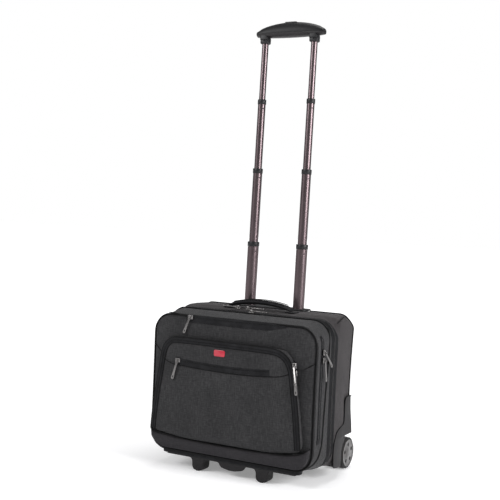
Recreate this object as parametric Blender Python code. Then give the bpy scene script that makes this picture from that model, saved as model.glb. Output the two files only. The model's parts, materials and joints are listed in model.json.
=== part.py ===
"""Rolling laptop case with a four-stage telescopic handle, two wheels and two front feet.

Metres, +Z up. X is the width, -Y is the front, and the origin lies on the floor under
the middle of the case. The case stands on its wheels and feet with the handle drawn out.
"""
import math

import bmesh
import bpy
from mathutils import Matrix, Vector

# ---- Driving dimensions -------------------------------------------------------------
GAP = 0.0003                    # between two pieces that touch
CASE_HALF_WIDTH = 0.2065
CASE_BOTTOM = 0.031
REAR_TOP = 0.367
FRONT_TOP = 0.362
REAR_CORNER = 0.030
FRONT_CORNER = 0.042
WALL = 0.004                    # board and fabric together
FRONT_FACE_Y = -0.130
ZIP_PLANE_Y = -0.035            # the main zip, where the front section opens
BACK_FACE_Y = 0.086

POCKET_DEPTH = 0.012
POCKET_FACE_Y = FRONT_FACE_Y - GAP - POCKET_DEPTH

WHEEL_RADIUS = 0.037
WHEEL_Y = 0.117
WHEEL_X = 0.1715                # middle of the tread
WHEEL_WIDTH = 0.024
HUB_RADIUS = 0.0245
AXLE_RADIUS = 0.004
HOUSING_INNER_X = 0.138
HOUSING_PLATE_X = 0.157         # outer side of the plate that holds the axle
HOUSING_OUTER_X = 0.2045

TUBE_X = 0.065                  # the two tubes stand 130 mm apart
TUBE_Y = 0.066
TUBE_REFERENCE_Z = 0.350        # height at which the tube line passes TUBE_Y
LEAN = math.radians(1.9)        # the handle leans back a little
TUBE_FLOOR = 0.059
COLLAR_HEIGHT = 0.0114
# name, lower end, top of the collar, outer radius, inner radius, collar radius
STAGES = (
    ("stage_1", 0.205, 0.5224, 0.0135, 0.0113, 0.0143),
    ("stage_2", 0.420, 0.6992, 0.0110, 0.0095, 0.0120),
    ("stage_3", 0.600, 0.8657, 0.0092, 0.0080, 0.0102),
)
OUTER_TUBE_RADIUS = 0.0148
OUTER_TUBE_BORE = 0.0138
TUBE_HOLE_RADIUS = 0.0140        # through the case top and the bezel
STAGE_4_LOW = 0.770
STAGE_4_RADIUS = 0.00775
SOCKET_LOW = 0.9995
SOCKET_HIGH = 1.0118
GRIP_SPLIT_Z = 1.0230
GRIP_HALF_LENGTH = 0.088
GRIP_MIDDLE_X = 0.002
GRIP_HALF_DEPTH = 0.0155
BUTTON_SIZE = Vector((0.0300, 0.0120, 0.0062))

FOOT_X = 0.082
FOOT_Y = -0.104
FOOT_DEPTH = 0.030

SLIDER_SIZE = Vector((0.0130, 0.0095, 0.0040))
PULL_HALF_WIDTH = 0.0045
PULL_THICKNESS = 0.0018
SLIDER_LIFT = 0.0004            # slider above the cloth, and pull above the slider

SIDES = (("left", -1), ("right", 1))


# ---- Finishes -----------------------------------------------------------------------
def finish(name, colour, roughness, metallic=0.0):
    """A plain Principled material."""
    material = bpy.data.materials.new(name)
    material.use_nodes = True
    shader = material.node_tree.nodes["Principled BSDF"]
    shader.inputs["Base Color"].default_value = (*colour, 1.0)
    shader.inputs["Roughness"].default_value = roughness
    shader.inputs["Metallic"].default_value = metallic
    return material


# ---- Building blocks ----------------------------------------------------------------
def add_object(name, mesh, material, parent=None):
    obj = bpy.data.objects.new(name, mesh)
    bpy.context.scene.collection.objects.link(obj)
    mesh.materials.append(material)
    obj.parent = parent
    return obj


def add_empty(name, matrix):
    empty = bpy.data.objects.new(name, None)
    bpy.context.scene.collection.objects.link(empty)
    empty.matrix_world = matrix
    return empty


def add_solid(name, bm, material, parent=None, smooth=True):
    """Turn a bmesh into an object with its faces pointing out."""
    bmesh.ops.recalc_face_normals(bm, faces=bm.faces)
    mesh = bpy.data.meshes.new(name)
    bm.to_mesh(mesh)
    bm.free()
    if smooth:
        mesh.shade_smooth()
        mesh.set_sharp_from_angle(angle=math.radians(35))
    return add_object(name, mesh, material, parent)


def rounded_outline(corners, steps=6):
    """Points round a closed outline of (u, v, radius) corners, each rounded by an arc."""
    points = []
    for index, (u, v, radius) in enumerate(corners):
        here = Vector((u, v))
        if radius == 0:
            points.append(here)
            continue
        back = (Vector(corners[index - 1][:2]) - here).normalized()
        ahead = (Vector(corners[(index + 1) % len(corners)][:2]) - here).normalized()
        half = back.angle(ahead) / 2
        centre = here + (back + ahead).normalized() * radius / math.sin(half)
        start = here + back * radius / math.tan(half) - centre
        end = here + ahead * radius / math.tan(half) - centre
        sweep_angle = math.pi - 2 * half
        for step in range(steps + 1):
            share = step / steps
            points.append(centre + (start * math.sin((1 - share) * sweep_angle)
                                    + end * math.sin(share * sweep_angle)) / math.sin(sweep_angle))
    return points


def rectangle(half_width, low, high, radius):
    """Corners of a rounded rectangle, for rounded_outline."""
    return [(-half_width, low, radius), (half_width, low, radius),
            (half_width, high, radius), (-half_width, high, radius)]


def on_plane(plane, u, v, depth):
    """World point of (u, v) on a plane, at a depth along the plane's normal."""
    return {"XZ": (u, depth, v), "YZ": (depth, u, v), "XY": (u, v, depth)}[plane]


def extrude_face(bm, face, offset):
    """Extrude one face by an offset and return the moved face."""
    on_solid = any(len(edge.link_faces) > 1 for edge in face.edges)
    grown = bmesh.ops.extrude_face_region(bm, geom=[face])["geom"]
    bmesh.ops.translate(bm, verts=[g for g in grown if isinstance(g, bmesh.types.BMVert)],
                        vec=Vector(offset))
    if on_solid:
        bmesh.ops.delete(bm, geom=[face], context="FACES_ONLY")
    return next(g for g in grown if isinstance(g, bmesh.types.BMFace))


def prism(plane, outline, low, high):
    """A bmesh prism over an outline, and its far face."""
    bm = bmesh.new()
    face = bm.faces.new([bm.verts.new(on_plane(plane, u, v, low)) for u, v in outline])
    far = extrude_face(bm, face, on_plane(plane, 0, 0, high - low))
    bmesh.ops.recalc_face_normals(bm, faces=bm.faces)
    return bm, far


def round_edges(bm, face, radius, segments=3):
    """Round the edges of one face."""
    bmesh.ops.bevel(bm, geom=list(face.edges), offset=radius, segments=segments,
                    profile=0.5, affect="EDGES", clamp_overlap=True)


def block(name, size, centre, material, radius=0.001, parent=None):
    """A box with rounded edges."""
    bm = bmesh.new()
    bmesh.ops.create_cube(bm, size=1.0)
    bmesh.ops.scale(bm, vec=Vector(size), verts=bm.verts)
    bmesh.ops.bevel(bm, geom=list(bm.edges), offset=radius, segments=2, profile=0.5,
                    affect="EDGES")
    obj = add_solid(name, bm, material, parent)
    obj.location = centre
    return obj


def turned(name, profile, material, parent=None, steps=24):
    """A solid turned about local Z from (radius, z) points, down the outside, up the inside."""
    mesh = bpy.data.meshes.new(name)
    count = len(profile)
    mesh.from_pydata([(radius, 0, z) for radius, z in profile],
                     [(index, (index + 1) % count) for index in range(count)], [])
    obj = add_object(name, mesh, material, parent)
    screw = obj.modifiers.new("turn", "SCREW")
    screw.steps = steps
    screw.render_steps = steps
    screw.use_merge_vertices = True
    screw.merge_threshold = 0.00005
    screw.use_smooth_shade = True
    return obj


def turned_on_x(name, profile, centre, material, steps=24):
    """A turned solid whose axis lies along X."""
    obj = turned(name, profile, material, steps=steps)
    obj.location = centre
    obj.rotation_euler = (0, math.radians(90), 0)
    return obj


def ring_profile(outer, inner, low, high):
    return [(outer, high), (outer, low), (inner, low), (inner, high)]


def swept(name, sections, material, parent=None):
    """A solid through a row of sections, each with the same number of points."""
    bm = bmesh.new()
    face = bm.faces.new([bm.verts.new(point) for point in sections[0]])
    for previous, section in zip(sections, sections[1:]):
        face = extrude_face(bm, face, (0, 0, 0))
        for vert in face.verts:
            nearest = min(range(len(previous)), key=lambda i: (vert.co - previous[i]).length)
            vert.co = section[nearest]
    return add_solid(name, bm, material, parent)


def cut(target, cutter):
    """Take a cutter out of a target."""
    cutter.hide_render = True
    cutter.display_type = "WIRE"
    boolean = target.modifiers.new("cut_" + cutter.name, "BOOLEAN")
    boolean.operation = "DIFFERENCE"
    boolean.solver = "EXACT"
    boolean.object = cutter


def cylinder_cutter(name, radius, length, matrix, material, steps=24):
    bm = bmesh.new()
    bmesh.ops.create_cone(bm, cap_ends=True, segments=steps, radius1=radius, radius2=radius,
                          depth=length)
    cutter = add_solid(name, bm, material, smooth=False)
    cutter.matrix_world = matrix
    return cutter


# ---- Case body ----------------------------------------------------------------------
def tub(name, outline, closed_y, open_y, edge_radius, material):
    """A hollow box, closed and rounded at one end of Y and open at the other."""
    bm, far = prism("XZ", outline, open_y, closed_y)
    depth = closed_y - open_y
    round_edges(bm, far, edge_radius)
    mouth = next(f for f in bm.faces if all(abs(v.co.y - open_y) < 1e-6 for v in f.verts))
    bmesh.ops.inset_region(bm, faces=[mouth], thickness=WALL, use_even_offset=True)
    inner_depth = depth - math.copysign(WALL, depth)
    floor = extrude_face(bm, mouth, (0, inner_depth, 0))
    round_edges(bm, floor, WALL, segments=2)
    return add_solid(name, bm, material)


def housing_outline():
    """Side outline of a wheel housing, in (y, z) corners."""
    return [(-0.002, 0.0300, 0.003), (-0.002, 0.066, 0.004), (0.050, 0.1395, 0.010),
            (0.074, 0.178, 0.004), (0.090, 0.178, 0.006), (0.098, 0.100, 0.010),
            (0.098, 0.080, 0.002), (0.131, 0.054, 0.010), (0.131, 0.0240, 0.006),
            (0.040, 0.0240, 0.010)]


def build_rear_shell(fabric, tube_cutters):
    outline = rounded_outline(rectangle(CASE_HALF_WIDTH, CASE_BOTTOM, REAR_TOP, REAR_CORNER))
    shell = tub("rear_shell", outline, BACK_FACE_Y, ZIP_PLANE_Y + GAP + 0.0002, 0.015, fabric)
    for side, sign in SIDES:
        clearance = 0.0008
        corners = housing_outline()
        middle = sum((Vector(c[:2]) for c in corners), Vector((0, 0))) / len(corners)
        grown = [((y - middle.x) * 1.02 + middle.x, (z - middle.y) * 1.02 + middle.y, radius)
                 for y, z, radius in corners]
        bm, _ = prism("YZ", rounded_outline(grown, steps=3),
                      sign * (HOUSING_INNER_X - clearance), sign * (CASE_HALF_WIDTH + 0.01))
        cut(shell, add_solid("housing_space_" + side, bm, fabric, smooth=False))
    for cutter in tube_cutters:
        cut(shell, cutter)
    return shell


def build_wheel_housing(side, sign, plastic):
    bm, outer = prism("YZ", rounded_outline(housing_outline(), steps=3),
                      sign * HOUSING_INNER_X, sign * HOUSING_OUTER_X)
    round_edges(bm, outer, 0.002, segments=2)
    housing = add_solid("wheel_housing_" + side, bm, plastic)
    turn = Matrix.Rotation(math.radians(90), 4, "Y")
    arch_length = 0.060
    arch_x = sign * (HOUSING_PLATE_X + arch_length / 2)
    arch = cylinder_cutter("wheel_arch_" + side, WHEEL_RADIUS + 0.0035, arch_length,
                           Matrix.Translation((arch_x, WHEEL_Y, WHEEL_RADIUS)) @ turn,
                           plastic, steps=40)
    bore = cylinder_cutter("axle_bore_" + side, AXLE_RADIUS + 0.00015, 0.030,
                           Matrix.Translation((sign * HOUSING_PLATE_X, WHEEL_Y, WHEEL_RADIUS))
                           @ turn, plastic)
    cut(housing, arch)
    cut(housing, bore)


def build_wheel(side, sign, rubber, hub_plastic, steel):
    centre = (sign * WHEEL_X, WHEEL_Y, WHEEL_RADIUS)
    half = WHEEL_WIDTH / 2
    shoulder = 0.004
    tread = [(WHEEL_RADIUS - shoulder, half), (WHEEL_RADIUS, half - shoulder),
             (WHEEL_RADIUS, shoulder - half), (WHEEL_RADIUS - shoulder, -half),
             (HUB_RADIUS + GAP, -half), (HUB_RADIUS + GAP, half)]
    turned_on_x("tyre_" + side, tread, centre, rubber, steps=40)
    hub_half = half - 0.001
    bore = AXLE_RADIUS + 0.00015
    hub = [(HUB_RADIUS - 0.001, hub_half), (HUB_RADIUS, hub_half - 0.001),
           (HUB_RADIUS, 0.001 - hub_half), (HUB_RADIUS - 0.001, -hub_half),
           (bore, -hub_half), (bore, hub_half)]
    turned_on_x("hub_" + side, hub, centre, hub_plastic, steps=24)
    axle_low = HOUSING_PLATE_X - 0.0145
    axle_high = WHEEL_X + half + 0.0005
    axle_half = (axle_high - axle_low) / 2
    axle = [(0, axle_half), (AXLE_RADIUS, axle_half), (AXLE_RADIUS, -axle_half), (0, -axle_half)]
    axle_x = sign * (axle_low + axle_high) / 2
    obj = turned_on_x("axle_" + side, axle, (axle_x, WHEEL_Y, WHEEL_RADIUS), steel)
    obj.modifiers["turn"].use_normal_flip = False


def build_case_inside(fabric, plastic):
    """The base tray, the lining that hides the tubes, and the bracket under the tubes."""
    tray = [(-0.033, 0.0285, 0.0), (0.030, 0.0235, 0.0), (0.0845, 0.0235, 0.004),
            (0.0845, CASE_BOTTOM - GAP, 0.0), (-0.033, CASE_BOTTOM - GAP, 0.0)]
    bm, _ = prism("YZ", rounded_outline(tray), -0.1374, 0.1374)
    add_solid("base_tray", bm, plastic)

    wide, narrow, step_z = CASE_HALF_WIDTH - WALL - 0.001, 0.1365, 0.184
    top, low = REAR_TOP - WALL - 0.001, CASE_BOTTOM + WALL + 0.001
    round_top = REAR_CORNER - WALL - 0.001
    lining = [(-narrow, low, 0.004), (narrow, low, 0.004), (narrow, step_z, 0.0),
              (wide, step_z, 0.006), (wide, top, round_top), (-wide, top, round_top),
              (-wide, step_z, 0.006), (-narrow, step_z, 0.0)]
    bm, _ = prism("XZ", rounded_outline(lining), 0.0360, 0.0390)
    add_solid("lining_panel", bm, fabric)

    block("lower_tube_bracket", (0.190, 0.030, 0.0130), (0, 0.0563, 0.0513), plastic)


def build_carry_handle(fabric):
    """A padded strap that arches over the top of the case."""
    half_length, rise, half_width, half_thickness = 0.080, 0.0130, 0.014, 0.0050
    foot_z = REAR_TOP + GAP + half_thickness
    sections = []
    steps = 16
    for step in range(steps + 1):
        x = half_length * (2 * step / steps - 1)
        share = x / half_length
        height = foot_z + rise * (1 - share ** 2) ** 0.8
        swell = 1.0 if 0 < step < steps else 0.6
        ring = [Vector((x, half_width * math.cos(a), height + half_thickness * swell * math.sin(a)))
                for a in (math.tau * k / 12 for k in range(12))]
        sections.append(ring)
    swept("carry_handle", sections, fabric)


def build_front_section(fabric, plastic, enamel):
    """The section in front of the main zip, with what is fixed to it."""
    outline = rounded_outline(rectangle(CASE_HALF_WIDTH, CASE_BOTTOM, FRONT_TOP, FRONT_CORNER))
    tub("front_shell", outline, FRONT_FACE_Y, ZIP_PLANE_Y - GAP - 0.0002, 0.008, fabric)

    wide, low = CASE_HALF_WIDTH - WALL - 0.001, CASE_BOTTOM + WALL + 0.001
    inner_radius = FRONT_CORNER - WALL - 0.001
    organiser = [(-wide, low, inner_radius), (wide, low, inner_radius),
                 (wide, 0.275, 0.010), (-wide, 0.275, 0.010)]
    bm, _ = prism("XZ", rounded_outline(organiser), -0.0400, -0.0370)
    add_solid("organiser_panel", bm, fabric)

    pocket = [(-0.196, 0.084, 0.020), (-0.110, 0.073, 0.30), (0.110, 0.073, 0.30),
              (0.188, 0.086, 0.020), (0.163, 0.255, 0.060), (0.145, 0.300, 0.030),
              (-0.160, 0.302, 0.030), (-0.180, 0.215, 0.060)]
    bm, far = prism("XZ", rounded_outline(pocket, steps=4), FRONT_FACE_Y - GAP, POCKET_FACE_Y)
    round_edges(bm, far, 0.003, segments=2)
    add_solid("front_pocket", bm, fabric)

    badge = [(-0.0370, 0.2705, 0.003), (-0.0100, 0.2705, 0.003),
             (-0.0100, 0.2840, 0.003), (-0.0370, 0.2840, 0.003)]
    bm, _ = prism("XZ", rounded_outline(badge, steps=3), POCKET_FACE_Y - GAP,
                  POCKET_FACE_Y - 0.0018)
    add_solid("badge", bm, enamel)

    top = CASE_BOTTOM - GAP
    foot = [(-0.0155, 0.0, 0.011), (0.0155, 0.0, 0.011), (0.0155, 0.021, 0.006),
            (0.0210, top, 0.0), (-0.0210, top, 0.0), (-0.0155, 0.021, 0.006)]
    for side, sign in SIDES:
        moved = [(x + sign * FOOT_X, z, radius) for x, z, radius in foot]
        bm, _ = prism("XZ", rounded_outline(moved, steps=3), FOOT_Y - FOOT_DEPTH / 2,
                      FOOT_Y + FOOT_DEPTH / 2)
        add_solid("foot_" + side, bm, plastic)

    lip = [(-0.0310, top, 0.0), (-0.0230, 0.0170, 0.012), (0.0055, 0.0115, 0.060),
           (0.0340, 0.0170, 0.012), (0.0420, top, 0.0)]
    bm, _ = prism("XZ", rounded_outline(lip, steps=4), FOOT_Y - FOOT_DEPTH / 2,
                  FOOT_Y - FOOT_DEPTH / 2 + 0.010)
    add_solid("bottom_grab_lip", bm, plastic)


# ---- Telescopic handle --------------------------------------------------------------
def handle_axis():
    """An empty on the tube line; its local Z runs up the leaning handle."""
    matrix = Matrix.Translation((0, TUBE_Y, TUBE_REFERENCE_Z)) @ Matrix.Rotation(-LEAN, 4, "X")
    return add_empty("handle_axis", matrix)


def tube(name, x, low, high, outer, inner, material, axis):
    """A tube on the handle line between two heights."""
    profile = ring_profile(outer, inner, low - TUBE_REFERENCE_Z, high - TUBE_REFERENCE_Z)
    obj = turned(name, profile, material, parent=axis)
    obj.location = (x, 0, 0)
    return obj


def build_tubes(axis, anodised, collar_plastic):
    for side, sign in SIDES:
        x = sign * TUBE_X
        tube("outer_tube_" + side, x, TUBE_FLOOR, REAR_TOP - WALL - 0.006,
             OUTER_TUBE_RADIUS, OUTER_TUBE_BORE, anodised, axis)
        for name, low, top, outer, inner, collar in STAGES:
            joint_z = top - COLLAR_HEIGHT
            tube(f"{name}_tube_{side}", x, low, joint_z - GAP, outer, inner, anodised, axis)
            tube(f"{name}_collar_{side}", x, joint_z, top, collar, inner, collar_plastic, axis)
        tube("stage_4_tube_" + side, x, STAGE_4_LOW, SOCKET_LOW - GAP, STAGE_4_RADIUS, 0.0065,
             anodised, axis)


def tube_cutters(axis, material):
    """Round holes for the first stage where it leaves the case."""
    cutters = []
    for side, sign in SIDES:
        bm = bmesh.new()
        bmesh.ops.create_cone(bm, cap_ends=True, segments=24, radius1=TUBE_HOLE_RADIUS,
                              radius2=TUBE_HOLE_RADIUS, depth=0.030)
        cutter = add_solid("tube_hole_" + side, bm, material, parent=axis, smooth=False)
        cutter.location = (sign * TUBE_X, 0, REAR_TOP - TUBE_REFERENCE_Z)
        cutters.append(cutter)
    return cutters


def build_bezel(plastic, cutters):
    """The moulded plate round the tubes on top of the case."""
    corners = [(-0.092, 0.0450, 0.010), (0.092, 0.0450, 0.010),
               (0.092, 0.0860, 0.010), (-0.092, 0.0860, 0.010)]
    bm, top = prism("XY", rounded_outline(corners), REAR_TOP + GAP, REAR_TOP + 0.0042)
    round_edges(bm, top, 0.0015, segments=2)
    bezel = add_solid("trolley_bezel", bm, plastic)
    for cutter in cutters:
        cut(bezel, cutter)


def grip_sections(rise_middle, rise_end, up):
    """Half-round sections along X, higher in the middle; up is 1 or -1."""
    sections = []
    steps = 14
    base = GRIP_SPLIT_Z - TUBE_REFERENCE_Z + up * GAP / 2
    for step in range(steps + 1):
        share = 2 * step / steps - 1
        rise = rise_end + (rise_middle - rise_end) * (1 - share ** 2) ** 0.75
        depth = GRIP_HALF_DEPTH * (0.65 + 0.35 * (1 - share ** 4))
        sections.append([Vector((GRIP_MIDDLE_X + GRIP_HALF_LENGTH * share, depth * math.cos(a),
                                 base + up * rise * math.sin(a)))
                         for a in (math.pi * k / 8 for k in range(9))])
    return sections


def build_grip(axis, plastic, grey_plastic):
    """Sockets, the two halves of the grip and the release button."""
    for side, sign in SIDES:
        height = SOCKET_HIGH - SOCKET_LOW
        block("grip_socket_" + side, (0.0275, 0.0230, height),
              (sign * TUBE_X, 0, (SOCKET_LOW + SOCKET_HIGH) / 2 - TUBE_REFERENCE_Z),
              plastic, radius=0.003, parent=axis)
    swept("grip_underside", grip_sections(0.0100, 0.0065, -1), grey_plastic, parent=axis)
    upper = swept("grip_top", grip_sections(0.0268, 0.0070, 1), plastic, parent=axis)

    button_top = GRIP_SPLIT_Z + 0.0268 + 0.0016 - TUBE_REFERENCE_Z
    button = block("grip_button", BUTTON_SIZE, (GRIP_MIDDLE_X, 0, button_top - BUTTON_SIZE.z / 2),
                   grey_plastic, parent=axis)
    well_depth = 0.020
    well = block("button_well", (BUTTON_SIZE.x + 0.0010, BUTTON_SIZE.y + 0.0010, well_depth),
                 (GRIP_MIDDLE_X, 0, button.location.z + well_depth / 2 - BUTTON_SIZE.z / 2 - 0.0032),
                 plastic, radius=0.0008, parent=axis)
    cut(upper, well)


# ---- Zip sliders and pulls ----------------------------------------------------------
def surface_matrix(origin, along, outward):
    """A frame with local X along, and local Z as near outward as it can be."""
    x_axis = Vector(along).normalized()
    y_axis = Vector(outward).cross(x_axis).normalized()
    matrix = Matrix((x_axis, y_axis, x_axis.cross(y_axis))).transposed().to_4x4()
    matrix.translation = Vector(origin)
    return matrix


def slotted_plate(length):
    """A flat pull from its pivot along X, with a rectangular slot near the free end."""
    xs = (-PULL_THICKNESS / 2, length - 0.012, length - 0.004, length)
    ys = (-PULL_HALF_WIDTH, -0.0022, 0.0022, PULL_HALF_WIDTH)
    bm = bmesh.new()
    grid = [[bm.verts.new((x, y, -PULL_THICKNESS / 2)) for y in ys] for x in xs]
    faces = [bm.faces.new((grid[i][j], grid[i + 1][j], grid[i + 1][j + 1], grid[i][j + 1]))
             for i in range(3) for j in range(3) if (i, j) != (1, 1)]
    grown = bmesh.ops.extrude_face_region(bm, geom=faces)["geom"]
    bmesh.ops.translate(bm, verts=[g for g in grown if isinstance(g, bmesh.types.BMVert)],
                        vec=(0, 0, PULL_THICKNESS))
    return bm


def build_zip(name, origin, along, outward, pull_direction, pull_length, metal):
    """A slider on the cloth and its pull, which swings on the slider's bridge."""
    seat = add_empty(name + "_seat", surface_matrix(origin, along, outward))
    block(name + "_slider", SLIDER_SIZE, (0, 0, SLIDER_LIFT + SLIDER_SIZE.z / 2), metal,
          radius=0.0012, parent=seat)
    lift = 2 * SLIDER_LIFT + SLIDER_SIZE.z + PULL_THICKNESS / 2
    pivot = Vector(origin) + Vector(outward).normalized() * lift
    hinge = add_empty(name + "_pivot", surface_matrix(pivot, pull_direction, outward))
    add_solid(name + "_pull", slotted_plate(pull_length), metal, parent=hinge, smooth=False)


def build_zips(metal):
    front, right, up = (0, -1, 0), (1, 0, 0), (0, 0, 1)
    side_x = CASE_HALF_WIDTH
    build_zip("top_pocket_zip", (-0.109, FRONT_FACE_Y, 0.3495), right, front,
              (-0.36, 0, -0.93), 0.040, metal)
    build_zip("wide_pocket_zip", (-0.130, POCKET_FACE_Y, 0.2505), right, front,
              (-0.26, 0, -0.966), 0.045, metal)
    pocket_edge = (-0.155, 0, 0.988)
    build_zip("front_pocket_zip_upper", (0.1625, POCKET_FACE_Y, 0.2705), pocket_edge, front,
              (0.30, -0.32, -0.90), 0.046, metal)
    build_zip("front_pocket_zip_lower", (0.1650, POCKET_FACE_Y, 0.2550), pocket_edge, front,
              (0.13, 0, -0.99), 0.047, metal)
    build_zip("side_zip_upper", (side_x, -0.0965, 0.299), up, right, (0, 0.74, -0.67), 0.052,
              metal)
    build_zip("side_zip_lower", (side_x, -0.0965, 0.282), up, right, (0, 0.22, -0.975), 0.048,
              metal)
    build_zip("main_zip_left", (-0.040, ZIP_PLANE_Y, REAR_TOP), right, up, (-1, 0, 0), 0.042,
              metal)
    build_zip("main_zip_right", (-0.014, ZIP_PLANE_Y, REAR_TOP), right, up, (1, 0, 0), 0.042,
              metal)
    build_zip("laptop_zip", (0.004, -0.0520, FRONT_TOP), right, up, (1, 0, 0), 0.040, metal)


# ---- Assembly -----------------------------------------------------------------------
def main():
    for obj in list(bpy.data.objects):
        bpy.data.objects.remove(obj)

    fabric = finish("melange_fabric", (0.055, 0.056, 0.058), 0.92)
    webbing = finish("black_webbing", (0.022, 0.022, 0.024), 0.80)
    plastic = finish("black_plastic", (0.018, 0.018, 0.020), 0.45)
    grey_plastic = finish("grey_plastic", (0.090, 0.085, 0.085), 0.40)
    anodised = finish("bronze_tube", (0.11, 0.080, 0.082), 0.28, 0.9)
    nickel = finish("black_nickel", (0.32, 0.31, 0.31), 0.30, 1.0)
    steel = finish("steel", (0.55, 0.55, 0.56), 0.35, 1.0)
    rubber = finish("rubber", (0.020, 0.020, 0.020), 0.75)
    enamel = finish("red_enamel", (0.42, 0.02, 0.04), 0.25)

    axis = handle_axis()
    bpy.context.view_layer.update()
    cutters = tube_cutters(axis, plastic)
    build_rear_shell(fabric, cutters)
    build_case_inside(webbing, plastic)
    build_carry_handle(webbing)
    build_front_section(fabric, plastic, enamel)
    for side, sign in SIDES:
        build_wheel_housing(side, sign, plastic)
        build_wheel(side, sign, rubber, grey_plastic, steel)
    build_tubes(axis, anodised, plastic)
    build_bezel(plastic, cutters)
    build_grip(axis, plastic, grey_plastic)
    build_zips(nickel)
    bpy.context.view_layer.update()


main()
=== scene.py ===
"""Rolling laptop case: the finished look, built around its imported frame."""

import json
import logging
import math
from collections.abc import Callable, Sequence
from dataclasses import dataclass, field
from enum import Enum
from typing import Any

import bmesh
import bpy
from mathutils import Matrix, Vector

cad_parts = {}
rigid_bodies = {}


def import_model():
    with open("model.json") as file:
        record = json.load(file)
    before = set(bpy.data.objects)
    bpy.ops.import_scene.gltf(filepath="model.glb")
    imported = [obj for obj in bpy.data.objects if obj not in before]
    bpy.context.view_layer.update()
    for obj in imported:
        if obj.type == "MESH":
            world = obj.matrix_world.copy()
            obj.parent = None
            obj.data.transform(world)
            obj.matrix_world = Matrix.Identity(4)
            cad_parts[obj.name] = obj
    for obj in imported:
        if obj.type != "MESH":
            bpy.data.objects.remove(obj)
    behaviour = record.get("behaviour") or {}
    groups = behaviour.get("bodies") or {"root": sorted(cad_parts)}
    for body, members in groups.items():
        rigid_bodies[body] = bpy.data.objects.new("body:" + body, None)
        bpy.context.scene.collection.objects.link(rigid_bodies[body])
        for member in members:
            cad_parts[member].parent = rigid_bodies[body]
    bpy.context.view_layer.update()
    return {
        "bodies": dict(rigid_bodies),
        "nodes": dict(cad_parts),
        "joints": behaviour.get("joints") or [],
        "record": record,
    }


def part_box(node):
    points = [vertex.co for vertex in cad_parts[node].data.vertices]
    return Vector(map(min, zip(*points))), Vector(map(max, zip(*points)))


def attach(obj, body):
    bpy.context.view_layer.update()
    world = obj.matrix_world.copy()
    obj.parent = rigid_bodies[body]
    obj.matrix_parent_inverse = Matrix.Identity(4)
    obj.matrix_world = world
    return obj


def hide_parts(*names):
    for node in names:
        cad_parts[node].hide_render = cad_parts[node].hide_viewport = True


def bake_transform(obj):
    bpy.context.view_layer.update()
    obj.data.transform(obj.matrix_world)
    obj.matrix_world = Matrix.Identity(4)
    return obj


log = logging.getLogger("laptop_case")
MM = 0.001
Point2 = tuple[float, float]
Colour = tuple[float, float, float]


# ---- Finishes -------------------------------------------------------------------


class Knob:
    """A socket of a finish's node tree; arithmetic on it adds Math nodes."""

    def __init__(self, vat: "Vat", socket: bpy.types.NodeSocket) -> None:
        """Keeps the socket and the vat that it belongs to."""
        self.vat = vat
        self.socket = socket

    def _math(self, operation: str, *values: Any) -> "Knob":
        """Adds one Math node.

        Args:
            operation: The node's operation.
            values: Its inputs, as knobs or numbers.

        Returns:
            The node's result.
        """
        return self.vat.node("ShaderNodeMath", {"operation": operation}, dict(enumerate(values)))

    def __add__(self, other: Any) -> "Knob":
        """Sum."""
        return self._math("ADD", self, other)

    def __radd__(self, other: Any) -> "Knob":
        """Sum, number first."""
        return self._math("ADD", other, self)

    def __sub__(self, other: Any) -> "Knob":
        """Difference."""
        return self._math("SUBTRACT", self, other)

    def __rsub__(self, other: Any) -> "Knob":
        """Difference, number first."""
        return self._math("SUBTRACT", other, self)

    def __mul__(self, other: Any) -> "Knob":
        """Product."""
        return self._math("MULTIPLY", self, other)

    def __rmul__(self, other: Any) -> "Knob":
        """Product, number first."""
        return self._math("MULTIPLY", other, self)

    def __truediv__(self, other: Any) -> "Knob":
        """Quotient."""
        return self._math("DIVIDE", self, other)

    def __rtruediv__(self, other: Any) -> "Knob":
        """Quotient, number first."""
        return self._math("DIVIDE", other, self)

    def __gt__(self, other: Any) -> "Knob":
        """1 where this is the greater, else 0."""
        return self._math("GREATER_THAN", self, other)

    def __abs__(self) -> "Knob":
        """Size without sign."""
        return self._math("ABSOLUTE", self)

    def sine(self) -> "Knob":
        """Sine of the value in radians."""
        return self._math("SINE", self)

    def most(self, other: Any) -> "Knob":
        """The greater of two values."""
        return self._math("MAXIMUM", self, other)

    def ramp(self, low: float, high: float) -> "Knob":
        """Smooth step from 0 at low to 1 at high."""
        return self.vat.node(
            "ShaderNodeMapRange",
            {"interpolation_type": "SMOOTHSTEP"},
            {"Value": self, "From Min": low, "From Max": high},
        )


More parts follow.
